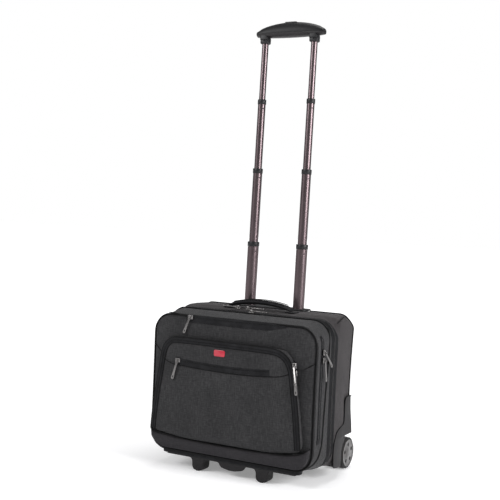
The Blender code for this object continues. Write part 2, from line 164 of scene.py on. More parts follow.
class Vat:
    """The node tree of one finish, with its shader."""

    def __init__(self, name: str, roughness: float, **settings: Any) -> None:
        """Makes the material.

        Args:
            name: The finish's name.
            roughness: Roughness all over.
            settings: Values of the shader's other sockets, with _ for a space.
        """
        self.material = bpy.data.materials.new(name)
        self.material.use_nodes = True
        self.tree = self.material.node_tree
        self.shader = self.tree.nodes["Principled BSDF"]
        self.shader.inputs["Roughness"].default_value = roughness
        for key, value in settings.items():
            self.shader.inputs[key.replace("_", " ")].default_value = value
        self._split: dict[str, tuple[Knob, Knob, Knob]] = {}

    def node(self, kind: str, settings: dict[str, Any], inputs: dict[Any, Any], out: int | str = 0) -> Knob:
        """Adds a node of any type.

        Args:
            kind: The node's type.
            settings: Its settings, set first.
            inputs: Values or knobs of its sockets, by name or number.
            out: The output that is wanted.

        Returns:
            That output.
        """
        made = self.tree.nodes.new(kind)
        for key, value in settings.items():
            if key == "stops":
                ramp = made.color_ramp
                while len(ramp.elements) < len(value):
                    ramp.elements.new(0.5)
                for element, (place, colour) in zip(ramp.elements, value):
                    element.position = place
                    element.color = (*colour, 1.0)
            else:
                setattr(made, key, value)
        for key, value in inputs.items():
            self.feed(made.inputs[key], value)
        return Knob(self, made.outputs[out])

    def feed(self, socket: bpy.types.NodeSocket, value: Any) -> None:
        """Links a knob to a socket, or sets its value."""
        if isinstance(value, Knob):
            self.tree.links.new(value.socket, socket)
        elif socket.type == "RGBA":
            socket.default_value = (*value[:3], 1.0)
        else:
            socket.default_value = value

    def parts(self, source: str = "Object") -> tuple[Knob, Knob, Knob]:
        """The x, y and z of an output of the Texture Coordinate node."""
        if source not in self._split:
            place = self.node("ShaderNodeTexCoord", {}, {}, source)
            made = self.node("ShaderNodeSeparateXYZ", {}, {"Vector": place})
            outputs = made.socket.node.outputs
            self._split[source] = tuple(Knob(self, outputs[i]) for i in range(3))
        return self._split[source]

    def noise(self, scale: Sequence[float], detail: float = 2.0, at: Sequence[Any] | None = None) -> Knob:
        """Noise with its own scale along each axis.

        Args:
            scale: Cells per metre along x, y and z.
            detail: Octaves.
            at: The place, or the object's own.

        Returns:
            A value from 0 to 1, about 0.5 in the middle.
        """
        x, y, z = at or self.parts()
        place = self.node("ShaderNodeCombineXYZ", {}, {0: x * scale[0], 1: y * scale[1], 2: z * scale[2]})
        return self.node("ShaderNodeTexNoise", {}, {"Vector": place, "Scale": 1.0, "Detail": detail})

    def mix(self, share: Any, first: Any, second: Any) -> Knob:
        """Blends two colours by a share from 0 to 1."""
        return self.node(
            "ShaderNodeMix", {"data_type": "RGBA"}, {"Factor": share, 6: first, 7: second}, 2
        )

    def colour(self, value: Any) -> "Vat":
        """Sets the base colour."""
        self.feed(self.shader.inputs["Base Color"], value)
        return self

    def rough(self, value: Any) -> "Vat":
        """Sets the roughness."""
        self.feed(self.shader.inputs["Roughness"], value)
        return self

    def bump(self, height: Knob, depth: float) -> "Vat":
        """Raises the surface by height times depth, in metres."""
        made = self.node("ShaderNodeBump", {}, {"Height": height, "Distance": depth, "Strength": 1.0})
        self.feed(self.shader.inputs["Normal"], made)
        return self

    def flat_place(self) -> tuple[Knob, Knob]:
        """Two coordinates that lie in the surface, whichever way it faces."""
        x, y, z = self.parts()
        nx, ny, nz = (abs(n) for n in self.parts("Normal"))
        side = nx > ny.most(nz)
        top = nz > ny.most(nx)
        return x * (1 - side) + y * side, z * (1 - top) + y * top


@dataclass(frozen=True)
class Melange:
    """Plain-woven cloth of yarns in two shades."""

    name: str
    dark: Colour
    light: Colour
    pitch: float = 0.9 * MM
    sheen: float = 0.25
    streaks: float = 1.0

    def make(self) -> bpy.types.Material:
        """Builds the weave, its flecked yarns, its slow unevenness and painted shade between the yarns."""
        vat = Vat(self.name, 0.82, Sheen_Weight=self.sheen, Sheen_Roughness=0.45, Specular_IOR_Level=0.12)
        u, v = vat.flat_place()
        turn = math.pi / self.pitch
        across, along = (u * turn).sine(), (v * turn).sine()
        over = (across * along).ramp(-0.25, 0.25)
        height = abs(across) * (1 - over) + abs(along) * over
        fine, long = 0.7 / self.pitch, 90.0
        warp = vat.noise((fine, long, 1.0), 1.0, (u, v, u * 0.0))
        weft = vat.noise((long, fine, 1.0), 1.0, (u, v, u * 0.0 + 7.0))
        fleck = warp * (1 - over) + weft * over
        streak = vat.noise((420.0, 46.0, 1.0), 2.0, (u, v, u * 0.0 + 3.0))
        slub = vat.noise((60.0, 520.0, 1.0), 2.0, (u, v, u * 0.0 + 11.0))
        cloud = vat.noise((18.0, 18.0, 18.0), 3.0)
        tone = (fleck - 0.5) * 1.5 + (streak - 0.5) * 0.8 * self.streaks
        tone = tone + (slub - 0.5) * 0.7 * self.streaks + (cloud - 0.5) * 0.5
        # Yarns are painted darker towards their edges, where they dip under one another: painted shade in the weave's
        # hollows.
        share = tone * 1.0 + 0.42 - (1 - height) * 0.22
        vat.colour(vat.mix(share.ramp(-0.15, 1.15), self.dark, self.light))
        vat.rough(0.78 + fleck * 0.14)
        vat.bump(height * 0.7 + fleck * 0.6, 0.22 * MM)
        return vat.material


@dataclass(frozen=True)
class Nylon:
    """Smooth, tightly woven tape or binding with a fine rib."""

    name: str
    base: Colour
    worn: Colour
    pitch: float = 0.7 * MM
    roughness: float = 0.6
    sheen: float = 0.2

    def make(self) -> bpy.types.Material:
        """Builds the rib and the rubbed patches."""
        vat = Vat(self.name, self.roughness, Sheen_Weight=self.sheen, Specular_IOR_Level=0.10)
        u, v = vat.flat_place()
        turn = math.tau / self.pitch
        rib = ((u + v) * turn).sine() * 0.5 + ((u - v) * turn).sine() * 0.5
        cloud = vat.noise((55.0, 55.0, 55.0), 3.0)
        grain = vat.noise((1400.0, 1400.0, 1400.0), 1.0)
        share = (cloud * 1.2 + rib * 0.12 + grain * 0.4 - 0.35).ramp(0.1, 1.1)
        vat.colour(vat.mix(share, self.base, self.worn))
        vat.rough(self.roughness - 0.08 + grain * 0.16)
        vat.bump(rib * 0.5 + grain * 0.4, 0.09 * MM)
        return vat.material


@dataclass(frozen=True)
class Moulded:
    """Moulded plastic or rubber with a fine spark-eroded grain."""

    name: str
    base: Colour
    worn: Colour
    roughness: float = 0.5
    grain: float = 0.05
    coat: float = 0.0

    def make(self) -> bpy.types.Material:
        """Builds the grain and the lighter rubbed places."""
        vat = Vat(self.name, self.roughness, Specular_IOR_Level=0.30, Coat_Weight=self.coat, Coat_Roughness=0.15)
        grain = vat.noise((1900.0, 1900.0, 1900.0), 2.0)
        cloud = vat.noise((38.0, 38.0, 38.0), 4.0)
        scuff = vat.noise((260.0, 90.0, 700.0), 3.0).ramp(0.60, 0.78)
        share = (cloud - 0.35).ramp(0.0, 0.6) * 0.6 + scuff * 0.35
        vat.colour(vat.mix(share, self.base, self.worn))
        vat.rough(self.roughness + (cloud - 0.5) * 0.18 + scuff * 0.08)
        vat.bump(grain, self.grain * MM)
        return vat.material


@dataclass(frozen=True)
class Metal:
    """Plated or anodised metal, drawn along z or tumbled."""

    name: str
    base: Colour
    bright: Colour
    roughness: float = 0.25
    drawn: bool = False

    def make(self) -> bpy.types.Material:
        """Builds the draw lines or the tumbled speckle, and the handling marks."""
        vat = Vat(self.name, self.roughness, Metallic=1.0)
        lines = (90.0, 90.0, 2.5) if self.drawn else (900.0, 900.0, 900.0)
        line = vat.noise(lines, 2.0)
        cloud = vat.noise((60.0, 60.0, 22.0), 3.0)
        mark = vat.noise((240.0, 240.0, 60.0), 3.0).ramp(0.62, 0.80)
        vat.colour(vat.mix(line * 0.6 + cloud * 0.5 - 0.1, self.base, self.bright))
        vat.rough(self.roughness + (line - 0.5) * 0.06 + (cloud - 0.5) * 0.08 + mark * 0.06)
        vat.bump(line, 0.003 * MM)
        return vat.material


class Slot(Enum):
    """The record's material slots."""

    CLOTH = "melange_fabric"
    WEBBING = "black_webbing"
    BLACK = "black_plastic"
    GREY = "grey_plastic"
    BRONZE = "bronze_tube"
    NICKEL = "black_nickel"
    STEEL = "steel"
    RUBBER = "rubber"
    RED = "red_enamel"


class Finish(Enum):
    """Every finish on the case, with the slot that it belongs to."""

    CLOTH = (Slot.CLOTH, Melange("charcoal_melange", (0.017, 0.017, 0.018), (0.052, 0.051, 0.053), sheen=0.07))
    # The rear tub's cloth is the face cloth's melange made a little lighter. The lift is partly its own tone and partly
    # painted light for the brighter light on the case's side.
    GUSSET = (Slot.CLOTH, Melange("gusset_melange", (0.022, 0.020, 0.021), (0.058, 0.053, 0.055), sheen=0.07))
    GUARD = (Slot.CLOTH, Melange("guard_cloth", (0.017, 0.016, 0.018), (0.044, 0.041, 0.045), 0.6 * MM, 0.05, 0.7))
    BAND = (Slot.WEBBING, Nylon("band_nylon", (0.006, 0.006, 0.007), (0.019, 0.019, 0.021), sheen=0.03))
    TAPE = (Slot.WEBBING, Nylon("zip_tape", (0.003, 0.003, 0.004), (0.012, 0.012, 0.013), 0.5 * MM, 0.7, 0.0))
    PIPING = (Slot.WEBBING, Nylon("piping_black", (0.002, 0.002, 0.002), (0.006, 0.006, 0.007), 0.6 * MM, 0.5, 0.0))
    COIL = (Slot.WEBBING, Moulded("zip_coil", (0.020, 0.020, 0.021), (0.042, 0.042, 0.044), 0.35, 0.02))
    THREAD = (Slot.WEBBING, Nylon("thread", (0.014, 0.014, 0.015), (0.034, 0.034, 0.036), 0.4 * MM, 0.55, 0.05))
    LINING = (Slot.CLOTH, Melange("lining_twill", (0.026, 0.027, 0.031), (0.066, 0.068, 0.076), 0.5 * MM, 0.1, 0.3))
    PLASTIC = (Slot.BLACK, Moulded("black_moulding", (0.006, 0.006, 0.007), (0.018, 0.018, 0.020), 0.44))
    HOUSING = (Slot.BLACK, Moulded("housing_moulding", (0.010, 0.009, 0.010), (0.025, 0.023, 0.024), 0.60, 0.10))
    RAIL = (Slot.BLACK, Moulded("base_moulding", (0.006, 0.005, 0.006), (0.017, 0.016, 0.017), 0.56, 0.10))
    GRIP = (Slot.BLACK, Moulded("grip_moulding", (0.003, 0.003, 0.004), (0.009, 0.009, 0.010), 0.50, 0.07))
    GRIP_LOW = (Slot.GREY, Moulded("grip_underside", (0.008, 0.007, 0.008), (0.018, 0.016, 0.017), 0.40, 0.05))
    HUB = (Slot.GREY, Moulded("hub_satin", (0.027, 0.024, 0.024), (0.060, 0.055, 0.053), 0.30, 0.03, 0.5))
    RUBBER = (Slot.RUBBER, Moulded("tyre_rubber", (0.006, 0.006, 0.006), (0.018, 0.017, 0.017), 0.62, 0.10))
    BRONZE = (Slot.BRONZE, Metal("bronze_anodised", (0.094, 0.072, 0.077), (0.151, 0.118, 0.125), 0.32, True))
    NICKEL = (Slot.NICKEL, Metal("nickel_plate", (0.110, 0.105, 0.104), (0.230, 0.222, 0.220), 0.28))
    STEEL = (Slot.STEEL, Metal("turned_steel", (0.420, 0.420, 0.430), (0.600, 0.600, 0.610), 0.28))
    RED = (Slot.RED, Moulded("red_enamel", (0.300, 0.008, 0.022), (0.460, 0.018, 0.038), 0.22, 0.01, 0.8))

    def material(self) -> bpy.types.Material:
        """The finish's material, made the first time that it is asked for."""
        recipe = self.value[1]
        return bpy.data.materials.get(recipe.name) or recipe.make()


# ---- The bench ------------------------------------------------------------------


class Plane(Enum):
    """Planes that a flat path is drawn in, with the turn from the drawing board."""

    FRONT = ((1, 0, 0), (0, 0, 1), (0, -1, 0))
    SIDE = ((0, 1, 0), (0, 0, 1), (1, 0, 0))
    TOP = ((1, 0, 0), (0, 1, 0), (0, 0, 1))

    def place(self, depth: float) -> Matrix:
        """The matrix that lays the board at a depth along the plane's own axis."""
        u, v, w = (Vector(a) for a in self.value)
        turn = Matrix((u, v, w)).transposed().to_4x4()
        axis = {"FRONT": Vector((0, 1, 0)), "SIDE": Vector((1, 0, 0)), "TOP": Vector((0, 0, 1))}[self.name]
        return Matrix.Translation(axis * depth) @ turn


class Bench:
    """Steps of modelling by hand, each on one piece."""

    @staticmethod
    def take(piece: bpy.types.Object) -> bpy.types.Object:
        """Selects one piece alone and makes it active."""
        bpy.ops.object.select_all(action="DESELECT")
        piece.select_set(True)
        bpy.context.view_layer.objects.active = piece
        return piece

    @staticmethod
    def settle(name: str) -> bpy.types.Object:
        """Names the active piece and moves its place into its mesh."""
        piece = bpy.context.active_object
        piece.name = piece.data.name = name
        bpy.ops.object.transform_apply(location=True, rotation=True, scale=True)
        return piece

    @staticmethod
    def box(name: str, low: Sequence[float], high: Sequence[float]) -> bpy.types.Object:
        """A block between two corners, to be shaped further."""
        bpy.ops.object.select_all(action="DESELECT")
        low, high = Vector(low), Vector(high)
        bpy.ops.mesh.primitive_cube_add(size=1, location=(low + high) / 2, scale=high - low)
        return Bench.settle(name)

    @staticmethod
    def edit(piece: bpy.types.Object, kind: str, test: Callable[[Any], bool]) -> int:
        """Opens a piece in edit mode with some of its elements selected.

        Args:
            piece: The piece.
            kind: VERT, EDGE or FACE.
            test: Says whether an element is selected.

        Returns:
            How many are selected.
        """
        Bench.take(piece)
        bpy.ops.object.mode_set(mode="EDIT")
        bpy.ops.mesh.select_mode(type=kind)
        bpy.ops.mesh.select_all(action="DESELECT")
        mesh = bmesh.from_edit_mesh(piece.data)
        found = 0
        for element in {"VERT": mesh.verts, "EDGE": mesh.edges, "FACE": mesh.faces}[kind]:
            if test(element):
                element.select_set(True)
                found += 1
        mesh.select_flush_mode()
        bmesh.update_edit_mesh(piece.data)
        return found

    @staticmethod
    def close() -> None:
        """Leaves edit mode."""
        bpy.ops.object.mode_set(mode="OBJECT")

    @staticmethod
    def bevel_along(piece: bpy.types.Object, axis: int, offset: float, segments: int) -> None:
        """Rounds the edges that run along an axis."""
        def runs(edge: Any) -> bool:
            """True for an edge along the axis."""
            d = (edge.verts[0].co - edge.verts[1].co).normalized()
            return abs(d[axis]) > 0.999
        Bench.edit(piece, "EDGE", runs)
        bpy.ops.mesh.bevel(offset=offset, segments=segments, profile=0.5)
        Bench.close()

    @staticmethod
    def bevel_rim(piece: bpy.types.Object, axis: int, place: float, offset: float, segments: int) -> None:
        """Rounds the rim of the face that lies at a place along an axis."""
        def rim(edge: Any) -> bool:
            """True for an edge in that plane between two unlike faces."""
            flat = all(abs(v.co[axis] - place) < 1e-5 for v in edge.verts)
            return flat and len(edge.link_faces) == 2 and edge.calc_face_angle(0) > 0.6
        Bench.edit(piece, "EDGE", rim)
        bpy.ops.mesh.bevel(offset=offset, segments=segments, profile=0.5)
        Bench.close()

    @staticmethod
    def slice(piece: bpy.types.Object, cuts: Sequence[tuple[Sequence[float], Sequence[float]]]) -> None:
        """Adds edges where planes cross a piece, each given by a point and its normal."""
        for point, normal in cuts:
            Bench.edit(piece, "FACE", lambda f: True)
            bpy.ops.mesh.bisect(plane_co=point, plane_no=normal)
            Bench.close()

    @staticmethod
    def modify(piece: bpy.types.Object, kind: str, **settings: Any) -> bpy.types.Object:
        """Adds a modifier, sets it and applies it."""
        Bench.take(piece)
        bpy.ops.object.modifier_add(type=kind)
        made = piece.modifiers[-1]
        for key, value in settings.items():
            setattr(made, key, value)
        bpy.ops.object.modifier_apply(modifier=made.name)
        return piece

    @staticmethod
    def merged(piece: bpy.types.Object, outward: bool = True) -> bpy.types.Object:
        """Joins points that lie together and turns the faces outwards."""
        Bench.edit(piece, "VERT", lambda v: True)
        bpy.ops.mesh.remove_doubles(threshold=0.00002)
        if outward:
            bpy.ops.mesh.normals_make_consistent(inside=False)
        Bench.close()
        return piece

    @staticmethod
    def copy_of(node: str, name: str) -> bpy.types.Object:
        """A merged copy of a frame node's mesh, as a start for a softer piece."""
        source = bpy.data.objects[node]
        piece = bpy.data.objects.new(name, source.data.copy())
        piece.data.materials.clear()
        bpy.context.scene.collection.objects.link(piece)
        return Bench.merged(piece, False)

    @staticmethod
    def join(pieces: Sequence[bpy.types.Object], name: str) -> bpy.types.Object:
        """Joins pieces into the first one."""
        bpy.ops.object.select_all(action="DESELECT")
        for piece in pieces:
            piece.select_set(True)
        bpy.context.view_layer.objects.active = pieces[0]
        if len(pieces) > 1:
            bpy.ops.object.join()
        pieces[0].name = pieces[0].data.name = name
        return pieces[0]

    @staticmethod
    def shift(piece: bpy.types.Object, move: Callable[[Vector], Vector]) -> bpy.types.Object:
        """Moves every point of a piece by a rule of its place."""
        for vertex in piece.data.vertices:
            vertex.co = move(vertex.co.copy())
        piece.data.update()
        return piece

    @staticmethod
    def carve(piece: bpy.types.Object, cutter: bpy.types.Object) -> None:
        """Cuts one piece out of another and throws the cutter away."""
        Bench.modify(piece, "BOOLEAN", operation="DIFFERENCE", object=cutter, solver="EXACT")
        bpy.data.objects.remove(cutter)

    @staticmethod
    def rod(
        name: str, centre: Sequence[float], axis: Vector, radius: float, length: float, sides: int = 32
    ) -> bpy.types.Object:
        """A round bar about an axis, to be shaped further or to cut with."""
        bpy.ops.object.select_all(action="DESELECT")
        turn = axis.to_track_quat("Z", "Y").to_euler()
        bpy.ops.mesh.primitive_cylinder_add(vertices=sides, radius=radius, depth=length, location=centre, rotation=turn)
        return Bench.settle(name)

    @staticmethod
    def dress(
        piece: bpy.types.Object, finish: Finish, body: str | None, replaces: Sequence[str] = (), angle: float = 40.0
    ) -> bpy.types.Object:
        """Smooths a finished piece, gives it its finish and puts it on its body.

        Args:
            piece: The piece, final in shape.
            finish: Its finish.
            body: The body that it rides on, or None to leave it on no body.
            replaces: Frame nodes that it stands for.
            angle: Edges sharper than this stay sharp, in degrees.

        Returns:
            The piece.
        """
        Bench.take(piece)
        bpy.ops.object.shade_smooth_by_angle(angle=math.radians(angle))
        piece.data.materials.clear()
        piece.data.materials.append(finish.material())
        if body:
            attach(piece, body)
        if replaces:
            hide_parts(*replaces)
        log.info("%s: %s, %d faces", piece.name, finish.name.lower(), len(piece.data.polygons))
        return piece


class Thread:
    """Pieces that follow a path: piping, tapes, bands, seams, stitches and zip coils."""

    @staticmethod
    def even(points: Sequence[Sequence[float]], step: float, closed: bool = False, curved: bool = True) -> list[Vector]:
        """A smooth path through some points, with its own points evenly apart.

        Args:
            points: Points that the path passes through.
            step: Distance between its points.
            closed: Whether it ends where it starts.
            curved: Whether it is smooth, or straight between the points.

        Returns:
            The path's points.
        """
        given = [Vector((*p, 0.0)) if len(p) == 2 else Vector(p) for p in points]
        n = len(given)
        dense: list[Vector] = []
        for i in range(n if closed else n - 1):
            if closed:
                a, b, c, d = (given[(i + k) % n] for k in (-1, 0, 1, 2))
            else:
                a, b, c, d = given[max(i - 1, 0)], given[i], given[i + 1], given[min(i + 2, n - 1)]
            for k in range(12):
                t = k / 12
                if curved:
                    dense.append(0.5 * (2 * b + (c - a) * t + (2 * a - 5 * b + 4 * c - d) * t * t + (3 * b - a - 3 * c + d) * t ** 3))
                else:
                    dense.append(b.lerp(c, t))
        dense.append(given[0] if closed else given[-1])
        lengths = [0.0]
        for a, b in zip(dense, dense[1:]):
            lengths.append(lengths[-1] + (b - a).length)
        count = max(2, round(lengths[-1] / step))
        path, j = [], 0
        for i in range(count + (0 if closed else 1)):
            goal = lengths[-1] * i / count
            while j < len(lengths) - 2 and lengths[j + 1] < goal:
                j += 1
            span = max(lengths[j + 1] - lengths[j], 1e-9)
            path.append(dense[j].lerp(dense[j + 1], (goal - lengths[j]) / span))
        return path

    @staticmethod
    def curve(
        name: str, path: Sequence[Vector], closed: bool, flat: bool, radii: Callable[[float], float] | None = None
    ) -> bpy.types.Object:
        """A drawn path.

        Args:
            name: Its name.
            path: Its points.
            closed: Whether it ends where it starts.
            flat: Whether it lies on the drawing board.
            radii: Width along the path, from 0 at its start to 1 at its end.

        Returns:
            The curve.
        """
        bpy.ops.object.select_all(action="DESELECT")
        bpy.ops.curve.primitive_nurbs_path_add(location=(0, 0, 0))
        drawn = bpy.context.active_object
        drawn.name = drawn.data.name = name
        data = drawn.data
        data.splines.clear()
        data.dimensions = "2D" if flat else "3D"
        data.fill_mode = "NONE" if flat else "FULL"
        spline = data.splines.new("POLY")
        spline.points.add(len(path) - 1)
        for i, (point, place) in enumerate(zip(spline.points, path)):
            point.co = (*place, 1.0)
            point.radius = radii(i / max(len(path) - 1, 1)) if radii else 1.0
        spline.use_cyclic_u = closed
        return drawn

    @staticmethod
    def to_mesh(drawn: bpy.types.Object, place: Matrix) -> bpy.types.Object:
        """Turns a drawn path into a mesh and lays it in its place."""
        Bench.take(drawn)
        bpy.ops.object.convert(target="MESH")
        piece = bpy.context.active_object
        piece.matrix_world = place
        Bench.take(piece)
        bpy.ops.object.transform_apply(location=True, rotation=True, scale=True)
        return Bench.merged(piece)

    @staticmethod
    def band(
        name: str,
        points: Sequence[Point2],
        wide: float,
        tall: float,
        depth: float,
        plane: Plane = Plane.FRONT,
        closed: bool = False,
        radii: Callable[[float], float] | None = None,
        step: float = 4 * MM,
        curved: bool = True,
        power: float = 0.55,
    ) -> bpy.types.Object:
        """A strip of one section swept along a flat path.

        Args:
            name: Its name.
            points: Points of its middle line, on the board.
            wide: Its width within the board's plane.
            tall: Its height square to that plane.
            depth: Where the plane lies.
            plane: Which plane it is.
            closed: Whether it is a ring.
            radii: Its share of full size along the path.
            step: Distance between its sections.
            curved: Whether the path is smooth between its points.
            power: 1 for an oval section, less for a squarer one.

        Returns:
            The strip.
        """
        def bulge(value: float) -> float:
            """Squares off a sine or cosine."""
            return math.copysign(abs(value) ** power, value)
        ring = [
            Vector((wide / 2 * bulge(math.cos(a)), tall / 2 * bulge(math.sin(a)), 0))
            for a in (math.tau * (k + 0.5) / 12 for k in range(12))
        ]
        section = Thread.curve(name + "_section", ring, True, True)
        drawn = Thread.curve(name, Thread.even(points, step, closed, curved), closed, True, radii)
        drawn.data.bevel_mode = "OBJECT"
        drawn.data.bevel_object = section
        drawn.data.use_fill_caps = not closed
        piece = Thread.to_mesh(drawn, plane.place(depth))
        bpy.data.objects.remove(section)
        return piece

    @staticmethod
    def cording(
        name: str, points: Sequence[Sequence[float]], radius: float, closed: bool = False, step: float = 4 * MM,
        curved: bool = True
    ) -> bpy.types.Object:
        """A round cord sewn along a path in space."""
        drawn = Thread.curve(name, Thread.even(points, step, closed, curved), closed, False)
        drawn.data.bevel_depth = radius
        drawn.data.bevel_resolution = 2
        drawn.data.use_fill_caps = not closed
        return Thread.to_mesh(drawn, Matrix.Identity(4))

    @staticmethod
    def plate(
        name: str, outline: Sequence[Point2], low: float, high: float, plane: Plane, rim: float, curved: bool = False,
        step: float = 5 * MM
    ) -> bpy.types.Object:
        """A cut panel with rounded edges.

        Args:
            name: Its name.
            outline: Its outline on the board, at its full size.
            low: Where it starts along the plane's axis.
            high: Where it ends.
            plane: Which plane it lies in.
            rim: Radius of its edges.
            curved: Whether the outline is smooth between its points.
            step: Distance between the outline's points.

        Returns:
            The panel.
        """
        drawn = Thread.curve(name, Thread.even(outline, step, True, curved), True, True)
        drawn.data.fill_mode = "BOTH"
        drawn.data.extrude = (high - low) / 2 - rim
        drawn.data.bevel_depth = rim
        drawn.data.bevel_resolution = 2
        drawn.data.offset = -rim
        return Thread.to_mesh(drawn, plane.place((low + high) / 2))

    @staticmethod
    def repeated(
        name: str, points: Sequence[
            Point2
        ], size: Sequence[float], pitch: float, depth: float, plane: Plane, closed: bool = False, curved: bool = True
    ) -> bpy.types.Object:
        """One small element repeated along a flat path, such as a stitch or a coil turn.

        Args:
            name: Name of the row.
            points: Points of the path, on the board.
            size: The element's size along the path, within the board and square to it.
            pitch: Distance from one to the next.
            depth: Where the board lies.
            plane: Which plane it is.
            closed: Whether the row is a ring.
            curved: Whether the path is smooth between its points.

        Returns:
            The row.
        """
        path = Thread.even(points, 3 * MM, closed, curved)
        loop = path + path[:1] if closed else path
        length = sum((b - a).length for a, b in zip(loop, loop[1:]))
        count = max(1, int(length / pitch))
        half = [s / 2 for s in size]
        element = Bench.box(name, (pitch / 2 - half[0], -half[1], -half[2]), (pitch / 2 + half[0], half[1], half[2]))
        Bench.edit(element, "EDGE", lambda e: True)
        bpy.ops.mesh.bevel(offset=min(half) * 0.7, segments=1)
        Bench.close()
        Bench.modify(
            element, "ARRAY", count=count, use_relative_offset=False, use_constant_offset=True,
            constant_offset_displace=(length / count, 0, 0),
        )
        guide = Thread.curve(name + "_guide", path, closed, True)
        Bench.modify(element, "CURVE", object=guide, deform_axis="POS_X")
        bpy.data.objects.remove(guide)
        element.matrix_world = plane.place(depth)
        Bench.take(element)
        bpy.ops.object.transform_apply(location=True, rotation=True, scale=True)
        return element


class Padding:
    """Stuffing a closed form, so that its panels swell between held seams."""

    @staticmethod
    def swell(
        piece: bpy.types.Object, voxel: float, held: Callable[[Vector], bool], most: Callable[[Vector], float],
        pressure: float = 4.0
    ) -> bpy.types.Object:
        """Remeshes a form evenly and lets cloth under pressure shape it.

        Args:
            piece: The closed form.
            voxel: Size of the even mesh.
            held: Says which points are sewn down.
            most: The furthest that a point may move, by its place.
            pressure: Pressure inside.

        Returns:
            The shaped piece.
        """
        Bench.modify(piece, "REMESH", mode="VOXEL", voxel_size=voxel)
        start = [v.co.copy() for v in piece.data.vertices]
        group = piece.vertex_groups.new(name="sewn")
        group.add([v.index for v in piece.data.vertices if held(v.co)], 1.0, "REPLACE")
        Bench.take(piece)
        bpy.ops.object.modifier_add(type="CLOTH")
        cloth = piece.modifiers[-1]
        setting = cloth.settings
        setting.quality = 4
        setting.mass = 0.25
        setting.tension_stiffness = setting.compression_stiffness = 12
        setting.shear_stiffness = 5
        setting.bending_stiffness = 2.0
        setting.use_pressure = True
        setting.uniform_pressure_force = pressure
        setting.vertex_group_mass = "sewn"
        setting.effector_weights.gravity = 0
        cloth.point_cache.frame_start, cloth.point_cache.frame_end = 1, 20
        scene = bpy.context.scene
        for frame in range(1, 21):
            scene.frame_set(frame)
        shaped = piece.evaluated_get(bpy.context.evaluated_depsgraph_get()).data
        ends = [v.co.copy() for v in shaped.vertices]
        Bench.take(piece)
        bpy.ops.object.modifier_remove(modifier=cloth.name)
        scene.frame_set(1)
        furthest = 0.0
        for vertex, first, last in zip(piece.data.vertices, start, ends):
            move = last - first
            limit = most(first)
            furthest = max(furthest, move.length)
            if move.length > 1e-9:
                vertex.co = first + move * (limit * math.tanh(move.length / limit) / move.length)
        piece.data.update()
        piece.vertex_groups.clear()
        log.info("%s: swelled up to %.1f mm before its limit", piece.name, furthest / MM)
        return piece


def ease(value: float, low: float, high: float) -> float:
    """Smooth step from 0 at low to 1 at high."""
    t = min(1.0, max(0.0, (value - low) / (high - low)))
    return t * t * (3 - 2 * t)


@dataclass(frozen=True)
class Outline:
    """The case's outline seen from the front: a rounded rectangle with sides that pull in."""

    half_width: float
    low: float
    top: float
    corner: float
    pull_in: float = 0.006

    def narrow(self, x: float, z: float, share: float = 1.0) -> float:
        """Where a point at x goes when the sides pull in at height z."""
        t = min(1.0, max(0.0, (z - self.low) / (self.top - self.low)))
        return x * (1 - self.pull_in * share * math.sin(math.pi * t))

    def ring(self, inset: float = 0.0, steps: int = 8) -> list[Point2]:
        """The outline's points, from its lower left corner anticlockwise."""
        w, low, top = self.half_width - inset, self.low + inset, self.top - inset
        r = max(self.corner - inset, 1 * MM)
        points: list[Point2] = []
        for cx, cz, start in ((w - r, top - r, 0), (r - w, top - r, 90), (r - w, low + r, 180), (w - r, low + r, 270)):
            for k in range(steps + 1):
                a = math.radians(start + 90 * k / steps)
                points.append((cx + r * math.cos(a), cz + r * math.sin(a)))
        full = Thread.even(points, 6 * MM, True, False)
        return [(self.narrow(p.x, p.y), p.y) for p in full]

    def pressed(self, x: float, z: float, share: float) -> Point2:
        """Moves a point that lies outside the outline towards it by a share."""
        cx = max(-self.half_width + self.corner, min(self.half_width - self.corner, x))
        cz = max(self.low + self.corner, min(self.top - self.corner, z))
        dx, dz = x - cx, z - cz
        gap = math.hypot(dx, dz) - self.corner
        if gap <= 0 or gap > self.corner:
            return x, z
        k = 1 - share * gap / (gap + self.corner)
        return cx + dx * k, cz + dz * k


# ---- Frame nodes that stay ------------------------------------------------------


def paint(node: str, finish: Finish, edge: float = 0.0) -> None:
    """Gives a frame node its finish and, where asked, soft edges.

    Args:
        node: The node's name.
        finish: Its finish.
        edge: Radius of its softened edges, or 0 for none.
    """
    piece = bpy.data.objects[node]
    piece.data.materials.clear()
    piece.data.materials.append(finish.material())
    for face in piece.data.polygons:
        face.use_smooth = True
    weld = piece.modifiers.new("weld", "WELD")
    weld.merge_threshold = 0.00002
    if edge:
        bevel = piece.modifiers.new("soft_edges", "BEVEL")
        bevel.width, bevel.segments, bevel.limit_method = edge, 2, "ANGLE"
        bevel.angle_limit = math.radians(35)
        bevel.harden_normals = True
    else:
        split = piece.modifiers.new("crease", "EDGE_SPLIT")
        split.split_angle = math.radians(40)


@dataclass
class MainZip:
    """One half of the zip round the case: its tape, its coil and the stitches that hold the tape."""

    name: str
    outline: Outline
    edge: float
    side: int
    body: str

    def build(self) -> None:
        """Makes the half, on its own side of the line where the two halves meet."""
        o = self.outline
        y = self.edge + self.side * 0.0095
        tape = Thread.band(
            "main_zip_tape_" + self.name, o.ring(-0.15 * MM), 1.0 * MM, 0.0165, y, closed=True, curved=False
        )
        Bench.dress(tape, Finish.TAPE, self.body)
        turn, y = (1.1 * MM, 1.1 * MM, 2.4 * MM), self.edge + self.side * 0.0014
        coil = Thread.repeated(
            "main_zip_coil_" + self.name, o.ring(-0.5 * MM), turn, 2.1 * MM, y, Plane.FRONT, True, False
        )
        Bench.dress(coil, Finish.COIL, self.body)
        stitch, y = (2.3 * MM, 0.5 * MM, 0.45 * MM), self.edge + self.side * 0.0160
        row = Thread.repeated(
            "main_zip_stitches_" + self.name, o.ring(-0.7 * MM), stitch, 3.6 * MM, y, Plane.FRONT, True, False
        )
        Bench.dress(row, Finish.THREAD, self.body)


# ---- Front section --------------------------------------------------------------


